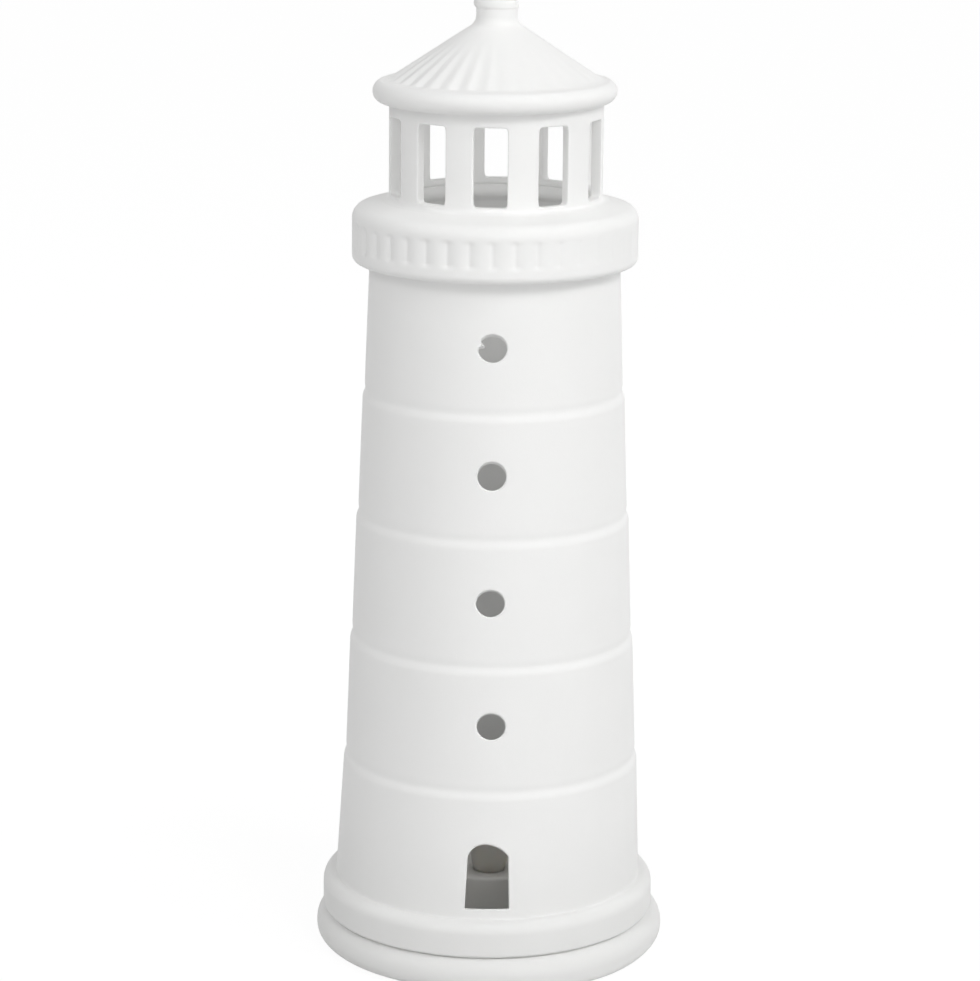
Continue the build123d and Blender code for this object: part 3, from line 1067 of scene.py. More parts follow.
@dataclass
class TowerShaft:
    """The hollow tower: a rounded foot ring and five bands, each a step in from the one below."""

    node: str = "tower_shaft"
    wall: float = 3.0 * MM
    foot_overhang: float = 3.55 * MM
    foot_height: float = 10.8 * MM
    foot_top_round: float = 3.2 * MM
    foot_drop: float = 1.4 * MM
    foot_bottom_round: float = 1.1 * MM
    foot_cove: float = 1.0 * MM
    foot_swell: float = 0.35 * MM
    foot_shift: float = 0.5 * MM
    band_count: int = 5
    band_taper: float = 1.23 * MM
    band_step: float = 0.42 * MM
    shoulder: float = 2.4 * MM
    nick: float = 0.18 * MM
    nick_reach: float = 1.1 * MM
    groove_sinks: tuple[float, ...] = (0.28 * MM, 0.2 * MM, 0.15 * MM, 0.55 * MM)
    head_cove: float = 0.6 * MM
    head_cove_rise: float = 0.9 * MM
    groove_reach: float = 3.6 * MM
    groove_row: float = 0.34 * MM
    plain_row: float = 2.6 * MM
    window_radius: float = 3.6 * MM
    window_tallness: tuple[float, ...] = (0.96, 0.965, 1.015, 0.98)
    window_drop: float = 0.95 * MM
    window_rise: float = 0.2 * MM
    window_shifts: tuple[float, ...] = (0.15 * MM, -0.33 * MM, -0.28 * MM, -0.4 * MM)
    window_lifts: tuple[float, ...] = (0.43 * MM, -0.17 * MM, -0.17 * MM, -0.5 * MM)
    door: DoorShape = field(default_factory=DoorShape)
    door_sill: float = 1.32 * MM
    door_drop: float = 1.0 * MM
    door_margin: float = 1.6 * MM
    door_half: float = math.radians(10.5)
    window_margin: float = 2.2 * MM
    window_half: float = math.radians(9.0)
    lip: float = 0.4 * MM
    front: float = math.radians(15.0)
    front_step: float = math.radians(0.75)
    back_step: float = math.radians(2.0)
    block_rows: float = 0.58 * MM
    foot_row: float = 1.5 * MM
    cove_rows: int = 6
    head_rows: int = 9

    def __post_init__(self) -> None:
        """Takes the foot's radius and the heights from the frame."""
        low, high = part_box(self.node)
        self.foot_radius = high.x
        self.seat_z, self.top_z = low.z, high.z
        self.bottom_radius = self.foot_radius - self.foot_overhang
        self.foot_top_z = self.seat_z + self.foot_height
        self.band_height = (self.top_z - self.foot_top_z) / self.band_count
        self.slope = self.band_taper / self.band_height
        taper = self.band_count * self.band_taper
        steps = (self.band_count - 1) * self.band_step
        self.top_radius = self.bottom_radius - taper - steps
        self.bore_bottom = self.bottom_radius - self.wall
        self.bore_top = self.top_radius - self.wall

    def groove_heights(self) -> Array:
        """Heights of the soft grooves between the bands, each a little below its even place."""
        even = self.foot_top_z + np.arange(1, self.band_count) * self.band_height
        return even - np.array(self.groove_sinks)

    def band_radius(self, height: Array) -> Array:
        """Radius of the outside at a height.

        The side tapers evenly. At each groove it steps in over the rounded shoulder of the band
        below, along 3t^2 - 2t^3, and dips by a bell curve, so that the foot of the band above turns
        in too. At the top a cove spreads under the gallery.

        Args:
            height: heights above the floor.

        Returns:
            The radii.
        """
        height = np.asarray(height)
        radius = self.bottom_radius - self.slope * (height - self.foot_top_z)
        for groove_z in self.groove_heights():
            radius = radius - self.band_step * smooth(height, groove_z - self.shoulder, groove_z)
            radius = radius - self.nick * bell(height - groove_z, self.nick_reach)
        return radius + slip_cove(height, self.top_z, self.head_cove, self.head_cove_rise)

    def bore_radius(self, height: Array) -> Array:
        """Radius of the bore at a height: straight in the foot, then an even cone to the top."""
        heights = (self.seat_z, self.foot_top_z, self.top_z)
        return np.interp(height, heights, (self.bore_bottom, self.bore_bottom, self.bore_top))

    def spread(self, points: Array) -> Array:
        """The fired shaft, whose lowest band spreads out and to the left down to the foot ring.

        Args:
            points: points of the shaft.

        Returns:
            The points, each moved by the share (groove - z) / (groove - foot) of the spread.
        """
        top = float(self.groove_heights()[0])
        share = np.clip((top - points[:, 2]) / (top - self.foot_top_z), 0.0, 1.0)
        out = points[:, :2] / np.linalg.norm(points[:, :2], axis=1, keepdims=True)
        moved = fired(points)
        shift = np.array([self.foot_shift, 0.0])
        moved[:, :2] += share[:, None] * (self.foot_swell * out - shift)
        return moved

    def openings(self) -> list[Opening]:
        """The door in the lowest band and a round window in each of the others."""
        sill_z = self.foot_top_z + self.door_sill
        door_low = self.foot_top_z - self.foot_drop + self.foot_cove
        door_high = sill_z + self.door.height + self.door_margin
        outline = self.door.outline(sill_z)
        cut = [Opening(outline, self.door_half, door_low, door_high, drop=self.door_drop)]
        windows = zip(self.window_shifts, self.window_lifts, self.window_tallness)
        for band, (shift, lift, tallness) in enumerate(windows, start=1):
            z = self.foot_top_z + (band + 0.5) * self.band_height + self.window_rise + lift
            burr = Burr() if band == self.band_count - 1 else None
            outline = round_outline(shift, z, self.window_radius, tallness, burr)
            reach = self.window_radius + self.window_margin
            cut.append(
                Opening(outline, self.window_half, z - reach, z + reach, drop=self.window_drop)
            )
        return cut

    def rows_round(self, heights: Array, openings: Sequence[Opening]) -> Array:
        """The heights of a face's rows, with even rows through the block of each opening.

        Args:
            heights: rising heights of the plain rows.
            openings: the openings.

        Returns:
            The rising heights.
        """
        for opening in openings:
            count = math.ceil((opening.high - opening.low) / self.block_rows)
            is_clear = (heights < opening.low - WELD) | (heights > opening.high + WELD)
            block = np.linspace(opening.low, opening.high, count)
            heights = np.sort(np.append(heights[is_clear], block))
        return heights

    def outer_profile(self, openings: Sequence[Opening]) -> Array:
        """The outside from the seat up: foot ring, cove and side, with fine rows at the grooves."""
        ring_z = self.foot_top_z - self.foot_drop
        edge = float(self.band_radius(ring_z))
        foot = rounded(
            [
                (self.bore_bottom, self.seat_z, 0.0),
                (self.foot_radius, self.seat_z, self.foot_bottom_round),
                (self.foot_radius, ring_z, self.foot_top_round),
                (edge, ring_z, 0.0),
            ],
            steps=10,
        )[:-1]
        side_z = ring_z + self.foot_cove
        controls = [
            (float(foot[-1, 0]), ring_z),
            (edge, ring_z),
            (float(self.band_radius(side_z)), side_z),
        ]
        cove = bezier(controls, self.cove_rows)[1:-1]
        fine = np.arange(-self.groove_reach, self.groove_reach, self.groove_row)
        spans = [np.arange(side_z, self.top_z, self.plain_row)]
        spans.append(np.linspace(self.top_z - self.head_cove_rise, self.top_z, self.head_rows))
        spans.extend(groove_z + fine for groove_z in self.groove_heights())
        heights = self.rows_round(np.unique(np.concatenate(spans)), openings)
        side = np.stack((self.band_radius(heights), heights), axis=1)
        return np.concatenate((divided(foot, self.foot_row), cove, side))

    def build(self) -> None:
        """Pierces the wall with the door and the windows."""
        openings = self.openings()
        outer = self.outer_profile(openings)
        plain = np.append(np.arange(self.seat_z, self.top_z, self.plain_row), self.top_z)
        heights = self.rows_round(plain, openings)[::-1]
        inner = np.stack((self.bore_radius(heights), heights), axis=1)
        fine = np.arange(-self.front, self.front, self.front_step)
        coarse = np.arange(self.front, 2.0 * math.pi - self.front - 1e-6, self.back_step)
        wall = PiercedWall(
            outer=outer,
            inner=inner,
            bearings=np.concatenate((fine, coarse)),
            openings=openings,
            outer_radius=self.band_radius,
            inner_radius=self.bore_radius,
            lip=self.lip,
            settle=self.spread,
        )
        settle_piece(wall.build("porcelain_shaft"), Body.TOWER, self.node, BISQUE)


@dataclass
class Gallery:
    """The hollow ring round the tower's head, with ribs round its side and a sloping deck."""

    node: str = "gallery"
    wall: float = 3.0 * MM
    bottom_round: float = 1.8 * MM
    deck_drop: float = 2.9 * MM
    deck_edge_round: float = 3.5 * MM
    soft_edge: float = 0.6 * MM
    hole_round: float = 2.2 * MM
    rib_count: int = 40
    rib_columns: int = 14
    rib_turn: float = math.radians(-1.0)
    rib_depth: float = 0.6 * MM
    rib_low: float = 3.6 * MM
    rib_length: float = 7.1 * MM
    rib_end: float = 0.7 * MM
    rib_fade: float = math.radians(15.0)
    rib_kept: float = 0.35
    side_inset: float = 2.2 * MM
    side_reach: float = 1.0 * MM
    longest_run: float = 0.5 * MM

    def build(self, bore: float) -> None:
        """Turns the gallery's profile and lets its ribs stand.

        A rib's section is the parabola 1 - u^2 from one valley to the next, so the valleys are
        sharp and the ribs round. The valleys run out smoothly at both ends.

        Args:
            bore: radius of the shaft's bore where the gallery sits on it.
        """
        low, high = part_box(self.node)
        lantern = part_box("lantern_room")[1].x
        lantern_bore = lantern - LANTERN_WALL
        radius = high.x
        deck_z = high.z - DECK_SINK
        deck_edge_z = high.z - self.deck_drop
        inside = radius - self.wall - self.rib_depth
        soft = self.soft_edge
        profile = rounded(
            [
                (bore, low.z, 0.0),
                (radius, low.z, self.bottom_round),
                (radius, deck_edge_z, self.deck_edge_round),
                (lantern, deck_z, soft),
                (lantern_bore, deck_z, 0.0),
                (lantern_bore, deck_z - self.wall, self.hole_round),
                (inside, deck_edge_z - self.wall, soft),
                (inside, low.z + self.wall, soft),
                (bore, low.z + self.wall, soft),
            ],
            closed=True,
            steps=8,
        )
        profile = divided(profile, self.longest_run)
        columns = self.rib_count * self.rib_columns
        bearings = even_bearings(columns, self.rib_turn)
        across = 2.0 * (np.arange(columns) % self.rib_columns) / self.rib_columns - 1.0
        rise = profile[:, 1] - low.z - self.rib_low
        rib_head = self.rib_length - self.rib_end
        runs_out = smooth(rise, 0.0, self.rib_end) * smooth(rise, self.rib_length, rib_head)
        side = radius - self.side_inset
        on_side = smooth(profile[:, 0], side, side + self.side_reach)
        kept = faded(bearings, self.rib_fade, self.rib_kept)
        sunk = self.rib_depth * (runs_out * on_side)[:, None] * (across**2 * kept)[None, :]
        grid = on_tower(profile[:, :1] - sunk, bearings[None, :], profile[:, 1:])
        piece = lathed_piece("porcelain_gallery", grid, fired)
        settle_piece(piece, Body.TOWER, self.node, BISQUE)


@dataclass
class LanternRoom:
    """The open drum under the roof, with ten tall windows between round-edged posts."""

    node: str = "lantern_room"
    cove: float = 1.8 * MM
    cove_rise: float = 0.8 * MM
    head_raise: float = 0.3 * MM
    toe: float = 0.5 * MM
    toe_sink: float = 0.25 * MM
    eave_cove: float = 0.3 * MM
    eave_cove_rise: float = 0.5 * MM
    deck_slope: float = 2.3 / 9.35
    sill: float = 1.2 * MM
    back_lift: float = 0.45 * MM
    lintel: float = 3.7 * MM
    window_width: float = 8.5 * MM
    window_shifts: tuple[float, ...] = (-0.4, -1.3, -1.5, 0.9, -0.6, 0.0, 0.7, -0.8, 4.0, 1.8)
    turn: float = math.radians(-2.6)
    squareness: float = 14.0
    block_half: float = math.radians(15.0)
    block_margin: float = 1.6 * MM
    cove_rows: int = 8
    head_rows: int = 14
    rows: int = 32
    columns: int = 360
    lip: float = 0.38 * MM

    def build(self) -> None:
        """Pierces the drum with its ring of windows, and spreads its foot into the deck."""
        low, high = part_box(self.node)
        radius, bore = high.x, high.x - LANTERN_WALL
        foot_z = low.z - DECK_SINK
        sill_z, lintel_z = foot_z + self.sill, high.z - self.lintel
        block_low, block_high = foot_z + self.cove_rise, lintel_z + self.block_margin
        run_out = (radius + self.cove, foot_z - self.cove * self.deck_slope)
        sunk_z = run_out[1] - self.toe * self.deck_slope - self.toe_sink
        toe = np.array([(radius + self.cove + self.toe, sunk_z)])
        cove = bezier([run_out, (radius, foot_z), (radius, block_low)], self.cove_rows)
        foot = np.concatenate((toe, cove[:-1]))
        block = np.linspace(block_low, block_high, self.rows + 1)
        head_z = high.z + self.head_raise
        heights = np.concatenate((block, np.linspace(block_high, head_z, self.head_rows)[1:]))
        spread = slip_cove(heights, high.z, self.eave_cove, self.eave_cove_rise)
        side = np.stack((radius + spread, heights), axis=1)
        inner_heights = np.concatenate((heights[::-1], [foot_z]))
        inner = np.stack((np.full(len(inner_heights), bore), inner_heights), axis=1)
        pitch = 2.0 * math.pi / len(self.window_shifts)
        openings = []
        for window, shift in enumerate(self.window_shifts):
            bearing = self.turn + pitch * window
            raised_z = sill_z + self.back_lift * (1.0 - math.cos(bearing)) / 2.0
            outline = upright_outline(self.window_width, raised_z, lintel_z, self.squareness)
            turn = math.radians(shift)
            openings.append(
                Opening(outline, self.block_half, block_low, block_high, bearing, turn)
            )
        wall = PiercedWall(
            outer=np.concatenate((foot, side)),
            inner=inner,
            bearings=even_bearings(self.columns, self.turn - pitch / 2.0),
            openings=openings,
            outer_radius=lambda height: np.full(np.shape(height), radius),
            inner_radius=lambda height: np.full(np.shape(height), bore),
            lip=self.lip,
        )
        settle_piece(wall.build("porcelain_lantern"), Body.TOWER, self.node, BISQUE)


@dataclass
class Roof:
    """The hollow cone with an eave bead, grooves that fade up the slope and a neck."""

    node: str = "roof"
    wall: float = 3.0 * MM
    bead: float = 2.7 * MM
    bead_rise: float = 0.6 * MM
    slope: float = math.radians(33.0)
    eave_cove: float = 1.4 * MM
    neck_inset: float = 0.38 * MM
    neck_cove: float = 3.0 * MM
    neck_raise: float = 1.2 * MM
    neck_flare: float = 0.18 * MM
    eave_sag: float = 0.15 * MM
    eave_tilt: tuple[float, float] = (0.25 * MM, 0.3 * MM)
    eave_lean: float = 0.5 * MM
    neck_lean: float = 0.15 * MM
    rim: float = 0.04 * MM
    groove_count: int = 32
    groove_columns: int = 16
    groove_turn: float = math.radians(1.4)
    groove_depth: float = 0.6 * MM
    groove_inset: float = 1.2 * MM
    groove_run: float = 15.0 * MM
    groove_fade: float = math.radians(-8.0)
    groove_kept: float = 0.3
    groove_start: tuple[float, float] = (0.5 * MM, -1.2 * MM)
    bead_rows: int = 26
    cove_rows: int = 8
    inner_rounds: tuple[float, float] = (1.0 * MM, 0.5 * MM)
    longest_run: float = 0.6 * MM

    def neck(self) -> float:
        """Radius of the neck."""
        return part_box("finial")[1].x - self.neck_inset

    def build(self) -> None:
        """Turns the roof's profile and sinks its grooves.

        A groove's section is (1 + cos(n b)) / 2 round the roof. Its depth rises quickly from the
        bead and then falls evenly to nothing up the slope.
        """
        low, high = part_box(self.node)
        neck = self.neck()
        seat = neck + self.neck_flare
        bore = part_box("lantern_room")[1].x - LANTERN_WALL
        ring = high.x - self.bead
        rise = math.tan(self.slope)
        bead_z = low.z + self.bead
        eave_z = bead_z + self.bead - self.bead_rise
        drop = self.wall / math.cos(self.slope)

        buried = (self.bead - self.bead_rise) / self.bead
        meet = math.pi - math.asin(buried * math.cos(self.slope)) - self.slope
        last = meet - self.eave_cove / self.bead
        angle = np.append(np.linspace(-math.pi / 2.0, last, self.bead_rows), meet)
        round_bead = np.stack((np.cos(angle), np.sin(angle)), axis=1)
        bead = np.array([ring, bead_z]) + self.bead * round_bead
        valley = bead[-1]
        up_slope = valley + self.eave_cove * np.array([-math.cos(self.slope), math.sin(self.slope)])
        cove = bezier([bead[-2], valley, up_slope], self.cove_rows)[1:]
        bead = np.concatenate((bead[:-1], cove))
        inside = rounded(
            [
                (0.0, eave_z + rise * ring - drop, 0.0),
                (bore, eave_z + rise * (ring - bore) - drop, self.inner_rounds[0]),
                (bore, low.z, self.inner_rounds[1]),
                (ring, low.z, 0.0),
            ]
        )[:-1]
        neck_z = eave_z + rise * (ring - neck)
        top_z = high.z + self.neck_raise
        outside = rounded(
            [
                (float(bead[-1, 0]), float(bead[-1, 1]), 0.0),
                (neck, neck_z, self.neck_cove),
                (neck, top_z - self.neck_flare, self.neck_flare),
                (seat - self.rim, top_z - self.rim, 0.0),
                (seat, top_z, 0.0),
                (seat - self.rim, top_z, 0.0),
                (0.0, top_z, 0.0),
            ]
        )[1:]
        profile = divided(np.concatenate((inside, bead, outside)), self.longest_run)

        columns = self.groove_count * self.groove_columns
        bearings = even_bearings(columns, self.groove_turn)
        section = (1.0 + np.cos(self.groove_count * (bearings - self.groove_turn))) / 2.0
        foot = ring - self.groove_inset
        radius, height = profile[:, 0], profile[:, 1]
        starts = smooth(radius, foot + self.groove_start[0], foot + self.groove_start[1])
        fades = np.clip((radius - foot + self.groove_run) / self.groove_run, 0.0, 1.0)
        is_outside = height > eave_z + rise * (ring - radius) - drop / 2.0
        kept = faded(bearings, self.groove_fade, self.groove_kept)
        depth = self.groove_depth * (starts * fades * is_outside)
        sunk = depth[:, None] * (section * kept)[None, :]
        grid = on_tower(profile[:, :1], bearings[None, :], profile[:, 1:] - sunk)
        piece = lathed_piece("porcelain_roof", grid, self.sagged)
        settle_piece(piece, Body.TOWER, self.node, BISQUE)

    def sagged(self, points: Array) -> Array:
        """The fired roof, set a little to the left, with an eave that sags and tilts.

        Args:
            points: points of the roof.

        Returns:
            The points, each let down by the share (neck - z) / (neck - eave) of
            sag - tilt . place / radius, and moved to the left by the same share of the eave's lean
            and the rest of the neck's.
        """
        low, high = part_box(self.node)
        share = np.clip((high.z - points[:, 2]) / (high.z - low.z), 0.0, 1.0)
        sag = self.eave_sag - points[:, :2] @ np.array(self.eave_tilt) / high.x
        moved = fired(points)
        moved[:, 0] -= share * self.eave_lean + (1.0 - share) * self.neck_lean
        moved[:, 2] -= share * sag
        return moved


@dataclass
class Finial:
    """The ball on the roof's neck."""

    node: str = "finial"
    soft_edge: float = 0.8 * MM
    lean: float = 0.45 * MM
    columns: int = 96
    rows: int = 40
    lower_rows: int = 10

    def build(self, roof: Roof) -> None:
        """Turns a circle's arc from the flat seat to the top.

        Below the arc a Bezier curve leaves the neck's flare at 45 degrees, as the flare ends. The
        ball leans from the neck's place to its own by the share (z - seat) / (centre - seat).

        Args:
            roof: the roof that carries the ball.
        """
        low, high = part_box(self.node)
        radius = high.x
        centre_z = high.z - radius
        seat_z = low.z + roof.neck_raise
        seat = roof.neck() + roof.neck_flare
        start = math.asin((seat_z + self.soft_edge - centre_z) / radius)
        angle = np.linspace(start, math.pi / 2.0, self.rows)
        arc = np.stack((radius * np.cos(angle), centre_z + radius * np.sin(angle)), axis=1)
        arc[-1, 0] = 0.0
        edge = float(arc[0, 0])
        controls = [(seat, seat_z), (edge, seat_z + edge - seat), tuple(arc[0])]
        lower = bezier(controls, self.lower_rows)[:-1]
        profile = np.concatenate(([(0.0, seat_z), (seat - roof.rim, seat_z)], lower, arc))
        grid = lathe(profile, even_bearings(self.columns))
        share = np.clip((grid[..., 2] - seat_z) / (centre_z - seat_z), 0.0, 1.0)
        grid[..., 0] -= roof.neck_lean + (self.lean - roof.neck_lean) * share
        piece = lathed_piece("porcelain_finial", grid, fired)
        settle_piece(piece, Body.TOWER, self.node, BISQUE)


# The tealight


@dataclass
class Tealight:
    """The battery tealight: new cup and flame, and finishes for the solids inside."""

    cup_node: str = "tealight_cup"
    flame_node: str = "tealight_flame"
    wall: float = 1.0 * MM
    ledge: float = 0.5 * MM
    rim_width: float = 1.6 * MM
    rim_round: float = 0.7 * MM
    soft_edge: float = 0.25 * MM
    top_thickness: float = 1.2 * MM
    top_sag: float = 0.7 * MM
    collar_depth: float = 3.6 * MM
    collar_bore: float = 4.2 * MM
    plate_top: float = 2.4 * MM
    neck: float = 4.0 * MM
    bore: float = 3.1 * MM
    bore_top: float = 8.6 * MM
    flange_thickness: float = 0.8 * MM
    flame_height: float = 22.6 * MM
    foot_round: float = 0.1 * MM
    flange_round: float = 0.15 * MM
    bore_round: float = 0.6 * MM
    swell: tuple[float, float] = (2.2 * MM, 5.0 * MM)
    shoulder: tuple[float, float] = (1.4 * MM, 13.5 * MM)
    blunt: float = 0.7 * MM
    lean: float = 0.9 * MM
    dish_runs: int = 24
    drop_runs: int = 40
    cup_run: float = 1.0 * MM
    flame_run: float = 0.8 * MM
    columns: int = 128
    finishes: dict[str, Finish] = field(
        default_factory=lambda: {
            "tealight_base": CUP_PLASTIC,
            "battery_cover": CUP_PLASTIC,
            "led_bulb": LED_EPOXY,
            "led_leads": SPRING_STEEL,
            "negative_contact": SPRING_STEEL,
            "positive_contact": SPRING_STEEL,
            "coin_cell": CELL_STEEL,
            "circuit_board": SOLDER_MASK,
            "flicker_chip": BLACK_PLASTIC,
            "switch_body": BLACK_PLASTIC,
            "switch_knob": BLACK_PLASTIC,
        }
    )

    def build(self, nodes: dict[str, bpy.types.Object]) -> None:
        """Makes the cup and the flame, and dresses the solids.

        Args:
            nodes: the frame's objects by node name.
        """
        settle_piece(self.cup(), Body.TEALIGHT, self.cup_node, CUP_PLASTIC)
        settle_piece(self.flame(), Body.TEALIGHT, self.flame_node, FLAME_PLASTIC)
        for name, finish in self.finishes.items():
            finish.paint(nodes[name])
            LOG.info("%s: %s", name, finish.slot.value)

    def cup(self) -> bpy.types.Object:
        """The cup: a thin shell whose top is dished by -4 sag t (1 - t) between rim and collar."""
        low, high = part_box(self.cup_node)
        radius = high.x
        rim = radius - self.rim_width
        collar_z = high.z - self.collar_depth
        plate_bore = radius - self.wall
        cup_bore = plate_bore - self.ledge
        share = np.linspace(0.0, 1.0, self.dish_runs + 1)
        rise = self.collar_depth * share - 4.0 * self.top_sag * share * (1.0 - share)
        reach = self.collar_bore + (rim - self.collar_bore) * share
        dish = np.stack((reach, collar_z + rise), axis=1)
        soft = self.soft_edge
        shell = rounded(
            [
                (cup_bore, high.z - self.top_thickness, 0.0),
                (cup_bore, low.z + self.plate_top, 0.0),
                (plate_bore, low.z + self.plate_top, 0.0),
                (plate_bore, low.z, soft),
                (radius, low.z, soft),
                (radius, high.z, self.rim_round),
                (rim, high.z, 0.0),
            ]
        )
        lowered = dish - np.array([0.0, self.top_thickness])
        under = lowered[dish[:, 0] < cup_bore]
        profile = np.concatenate((shell, dish[-2::-1], under))
        profile = divided(np.concatenate((profile, profile[:1])), self.cup_run)
        return lathed_piece("cup_shell", lathe(profile, even_bearings(self.columns)))

    def flame(self) -> bpy.types.Object:
        """The flame: a hollow teardrop on a flanged neck, whose tip leans by lean t^2."""
        low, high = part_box(self.flame_node)
        collar_z = high.z - self.flame_height
        bore_z = low.z + self.bore_top
        foot = rounded(
            [
                (0.0, bore_z, 0.0),
                (self.bore, bore_z, self.bore_round),
                (self.bore, low.z, self.foot_round),
                (high.x, low.z, self.flange_round),
                (high.x, low.z + self.flange_thickness, self.flange_round),
                (self.neck, low.z + self.flange_thickness, self.foot_round),
                (self.neck, collar_z, 0.0),
            ]
        )
        controls = [
            (self.neck, collar_z),
            (self.neck + self.swell[0], collar_z + self.swell[1]),
            (self.neck + self.shoulder[0], collar_z + self.shoulder[1]),
            (self.blunt, high.z),
            (0.0, high.z),
        ]
        drop = bezier(controls, self.drop_runs)[1:]
        profile = np.concatenate((divided(foot, self.flame_run), drop))
        grid = lathe(profile, even_bearings(self.columns // 2))
        share = np.clip((grid[..., 2] - bore_z) / (high.z - bore_z), 0.0, 1.0)
        grid[..., 0] -= self.lean * share**2
        return lathed_piece("flame_lens", grid)


# Stage, light and camera


@dataclass(frozen=True)
class SoftBox:
    """A large soft lamp that faces the tower, at a bearing and an elevation in degrees."""

    name: str
    bearing: float
    elevation: float
    width: float
    power: float
    distance: float = 1.6
    aim_z: float = 0.22
    spread: float = math.radians(60.0)

    def hang(self) -> None:
        """Hangs the lamp and turns it to the tower."""
        lamp = bpy.data.lights.new(self.name, "AREA")
        lamp.shape = "DISK"
        lamp.size = self.width
        lamp.spread = self.spread
        lamp.energy = self.power
        bearing, elevation = math.radians(self.bearing), math.radians(self.elevation)
        level = self.distance * math.cos(elevation)
        rise = self.distance * math.sin(elevation)
        away = Vector((level * math.sin(bearing), -level * math.cos(bearing), rise))
        holder = linked(self.name, lamp)
        holder.location = away + Vector((0.0, 0.0, self.aim_z))
        holder.rotation_euler = away.to_track_quat("Z", "Y").to_euler()


@dataclass(frozen=True)
class InnerGlow:
    """A faint round lamp on the tower's axis, for the light that thin porcelain lets through."""

    name: str
    height: float
    power: float
    radius: float = 14.0 * MM

    def hang(self) -> None:
        """Hangs the lamp where no ray from the camera or from gloss can find it."""
        lamp = bpy.data.lights.new(self.name, "POINT")
        lamp.shadow_soft_size = self.radius
        lamp.energy = self.power
        holder = linked(self.name, lamp)
        holder.location = (0.0, 0.0, self.height)
        holder.visible_camera = False
        holder.visible_glossy = False


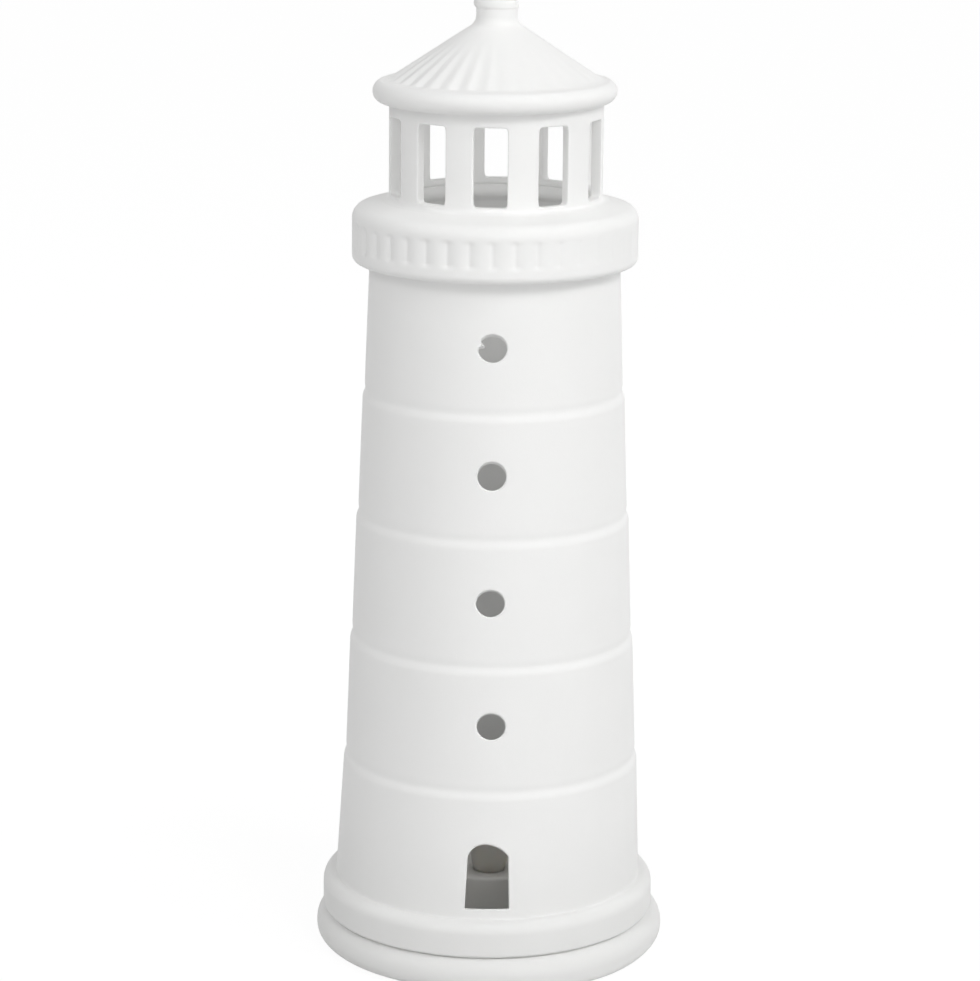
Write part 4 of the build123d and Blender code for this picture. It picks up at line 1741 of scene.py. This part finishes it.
@dataclass
class Studio:
    """A white sweep of floor under soft light."""

    ambient: float = 0.655
    overhead: float = 0.445
    floor_half: float = 4.0
    floor_tone: float = 0.85
    near_tone: float = 0.68
    near_reach: float = 0.08
    far_reach: float = 0.3
    shadow_share: float = 0.15
    white: float = 1.09
    lamps: tuple[SoftBox | InnerGlow, ...] = (
        SoftBox("key", 30.0, 36.0, 0.5, 0.57),
        SoftBox("side", 60.0, 36.0, 0.5, 0.6),
        SoftBox("fill", -35.0, 38.0, 0.6, 0.46),
        SoftBox("low", 20.0, 8.0, 0.8, 2.2, aim_z=0.1, spread=math.pi),
        SoftBox("back", 135.0, 4.0, 0.5, 0.25),
        InnerGlow("lantern_glow", 208.0 * MM, 0.0042),
        InnerGlow("head_glow", 165.0 * MM, 0.0043),
        InnerGlow("shaft_glow", 120.0 * MM, 0.0019),
        InnerGlow("foot_glow", 60.0 * MM, 0.0042),
    )

    @staticmethod
    def seen(recipe: Recipe) -> Wire:
        """1 for rays from the camera and for those that gloss or glass sends on, otherwise 0."""
        rays = [
            recipe.node("ShaderNodeLightPath", output=name)
            for name in ("Is Camera Ray", "Is Glossy Ray", "Is Transmission Ray")
        ]
        return (rays[0] + rays[1] + rays[2]).least(1.0)

    def build(self) -> None:
        """Sets the world, the floor and the lamps."""
        self._set_world()
        self._lay_floor()
        for lamp in self.lamps:
            lamp.hang()

    def _set_world(self) -> None:
        """Lights the scene from all round, less from overhead, and shows plain white behind it."""
        world = bpy.data.worlds.new("studio")
        recipe = Recipe(world)
        toward = recipe.node("ShaderNodeTexCoord", output="Generated")
        span = {"Value": recipe.height_of(toward), "To Min": self.ambient, "To Max": self.overhead}
        strength = recipe.node("ShaderNodeMapRange", {"clamp": True}, span)
        lit = recipe.node("ShaderNodeBackground", None, {"Color": WHITE, "Strength": strength})
        white = recipe.node("ShaderNodeBackground", None, {"Color": WHITE, "Strength": 1.0})
        mixed = recipe.node("ShaderNodeMixShader", None, {0: self.seen(recipe), 1: lit, 2: white})
        recipe.node("ShaderNodeOutputWorld", None, {"Surface": mixed})
        bpy.context.scene.world = world

    def _lay_floor(self) -> None:
        """Lays a floor that looks white, with a faint shadow, and is duller near the dish."""
        material = bpy.data.materials.new("white_floor")
        recipe = Recipe(material)
        away = recipe.length_of(recipe.place())
        spread = {"Value": away, "From Min": self.near_reach, "From Max": self.far_reach}
        farness = recipe.node("ShaderNodeMapRange", {"clamp": True}, spread)
        tone = recipe.blend(farness, (self.near_tone,) * 3, (self.floor_tone,) * 3)
        cloth = recipe.node("ShaderNodeBsdfDiffuse", None, {"Color": tone})
        glow = {"Color": WHITE, "Strength": self.white}
        white = recipe.node("ShaderNodeEmission", None, glow)
        share = self.seen(recipe) * (1.0 - self.shadow_share)
        mixed = recipe.node("ShaderNodeMixShader", None, {0: share, 1: cloth, 2: white})
        recipe.node("ShaderNodeOutputMaterial", None, {"Surface": mixed})

        half = self.floor_half
        corners = [(-half, -half, 0.0), (half, -half, 0.0), (half, half, 0.0), (-half, half, 0.0)]
        mesh = bpy.data.meshes.new("floor")
        mesh.from_pydata(corners, [], [(0, 1, 2, 3)])
        mesh.materials.append(material)
        floor = linked("floor", mesh)


@dataclass(frozen=True)
class Portrait:
    """The camera, fitted to the outline and the groove ellipses of the tower."""

    frame_height: float = 981.0
    sensor: float = 36.0
    focal_pixels: float = 3299.0
    distance: float = 833.6 * MM
    height: float = 322.2 * MM
    pitch: float = math.radians(13.56)
    roll: float = math.radians(0.57)
    yaw: float = math.radians(-0.05)
    clip_start: float = 0.01
    clip_end: float = 20.0

    def build(self) -> None:
        """Places the camera before the door, looking down a little and rolled slightly."""
        camera = bpy.data.cameras.new("portrait")
        camera.sensor_width = self.sensor
        camera.lens = self.focal_pixels * self.sensor / self.frame_height
        camera.clip_start = self.clip_start
        camera.clip_end = self.clip_end
        level = math.cos(self.pitch)
        ahead = Vector(
            (math.sin(self.yaw) * level, math.cos(self.yaw) * level, -math.sin(self.pitch))
        )
        right = Vector((math.cos(self.yaw), -math.sin(self.yaw), 0.0))
        up = right.cross(ahead)
        side = right * math.cos(self.roll) + up * math.sin(self.roll)
        top = up * math.cos(self.roll) - right * math.sin(self.roll)
        axes = Matrix((side, top, -ahead)).transposed()
        place = Matrix.Translation((0.0, -self.distance, self.height))
        holder = linked("portrait", camera)
        holder.matrix_world = place @ axes.to_4x4()
        bpy.context.scene.camera = holder


def main() -> None:
    """Builds and dresses the lighthouse in the loaded frame, and sets its stage."""
    logging.basicConfig(level=logging.INFO, format="%(name)s %(message)s")

    BaseDish().build()
    shaft = TowerShaft()
    shaft.build()
    Gallery().build(shaft.bore_top)
    LanternRoom().build()
    roof = Roof()
    roof.build()
    Finial().build(roof)
    Tealight().build(frame["nodes"])

    Studio().build()
    Portrait().build()
    bpy.context.scene.view_settings.view_transform = "Standard"


if __name__ == "__main__":
    main()
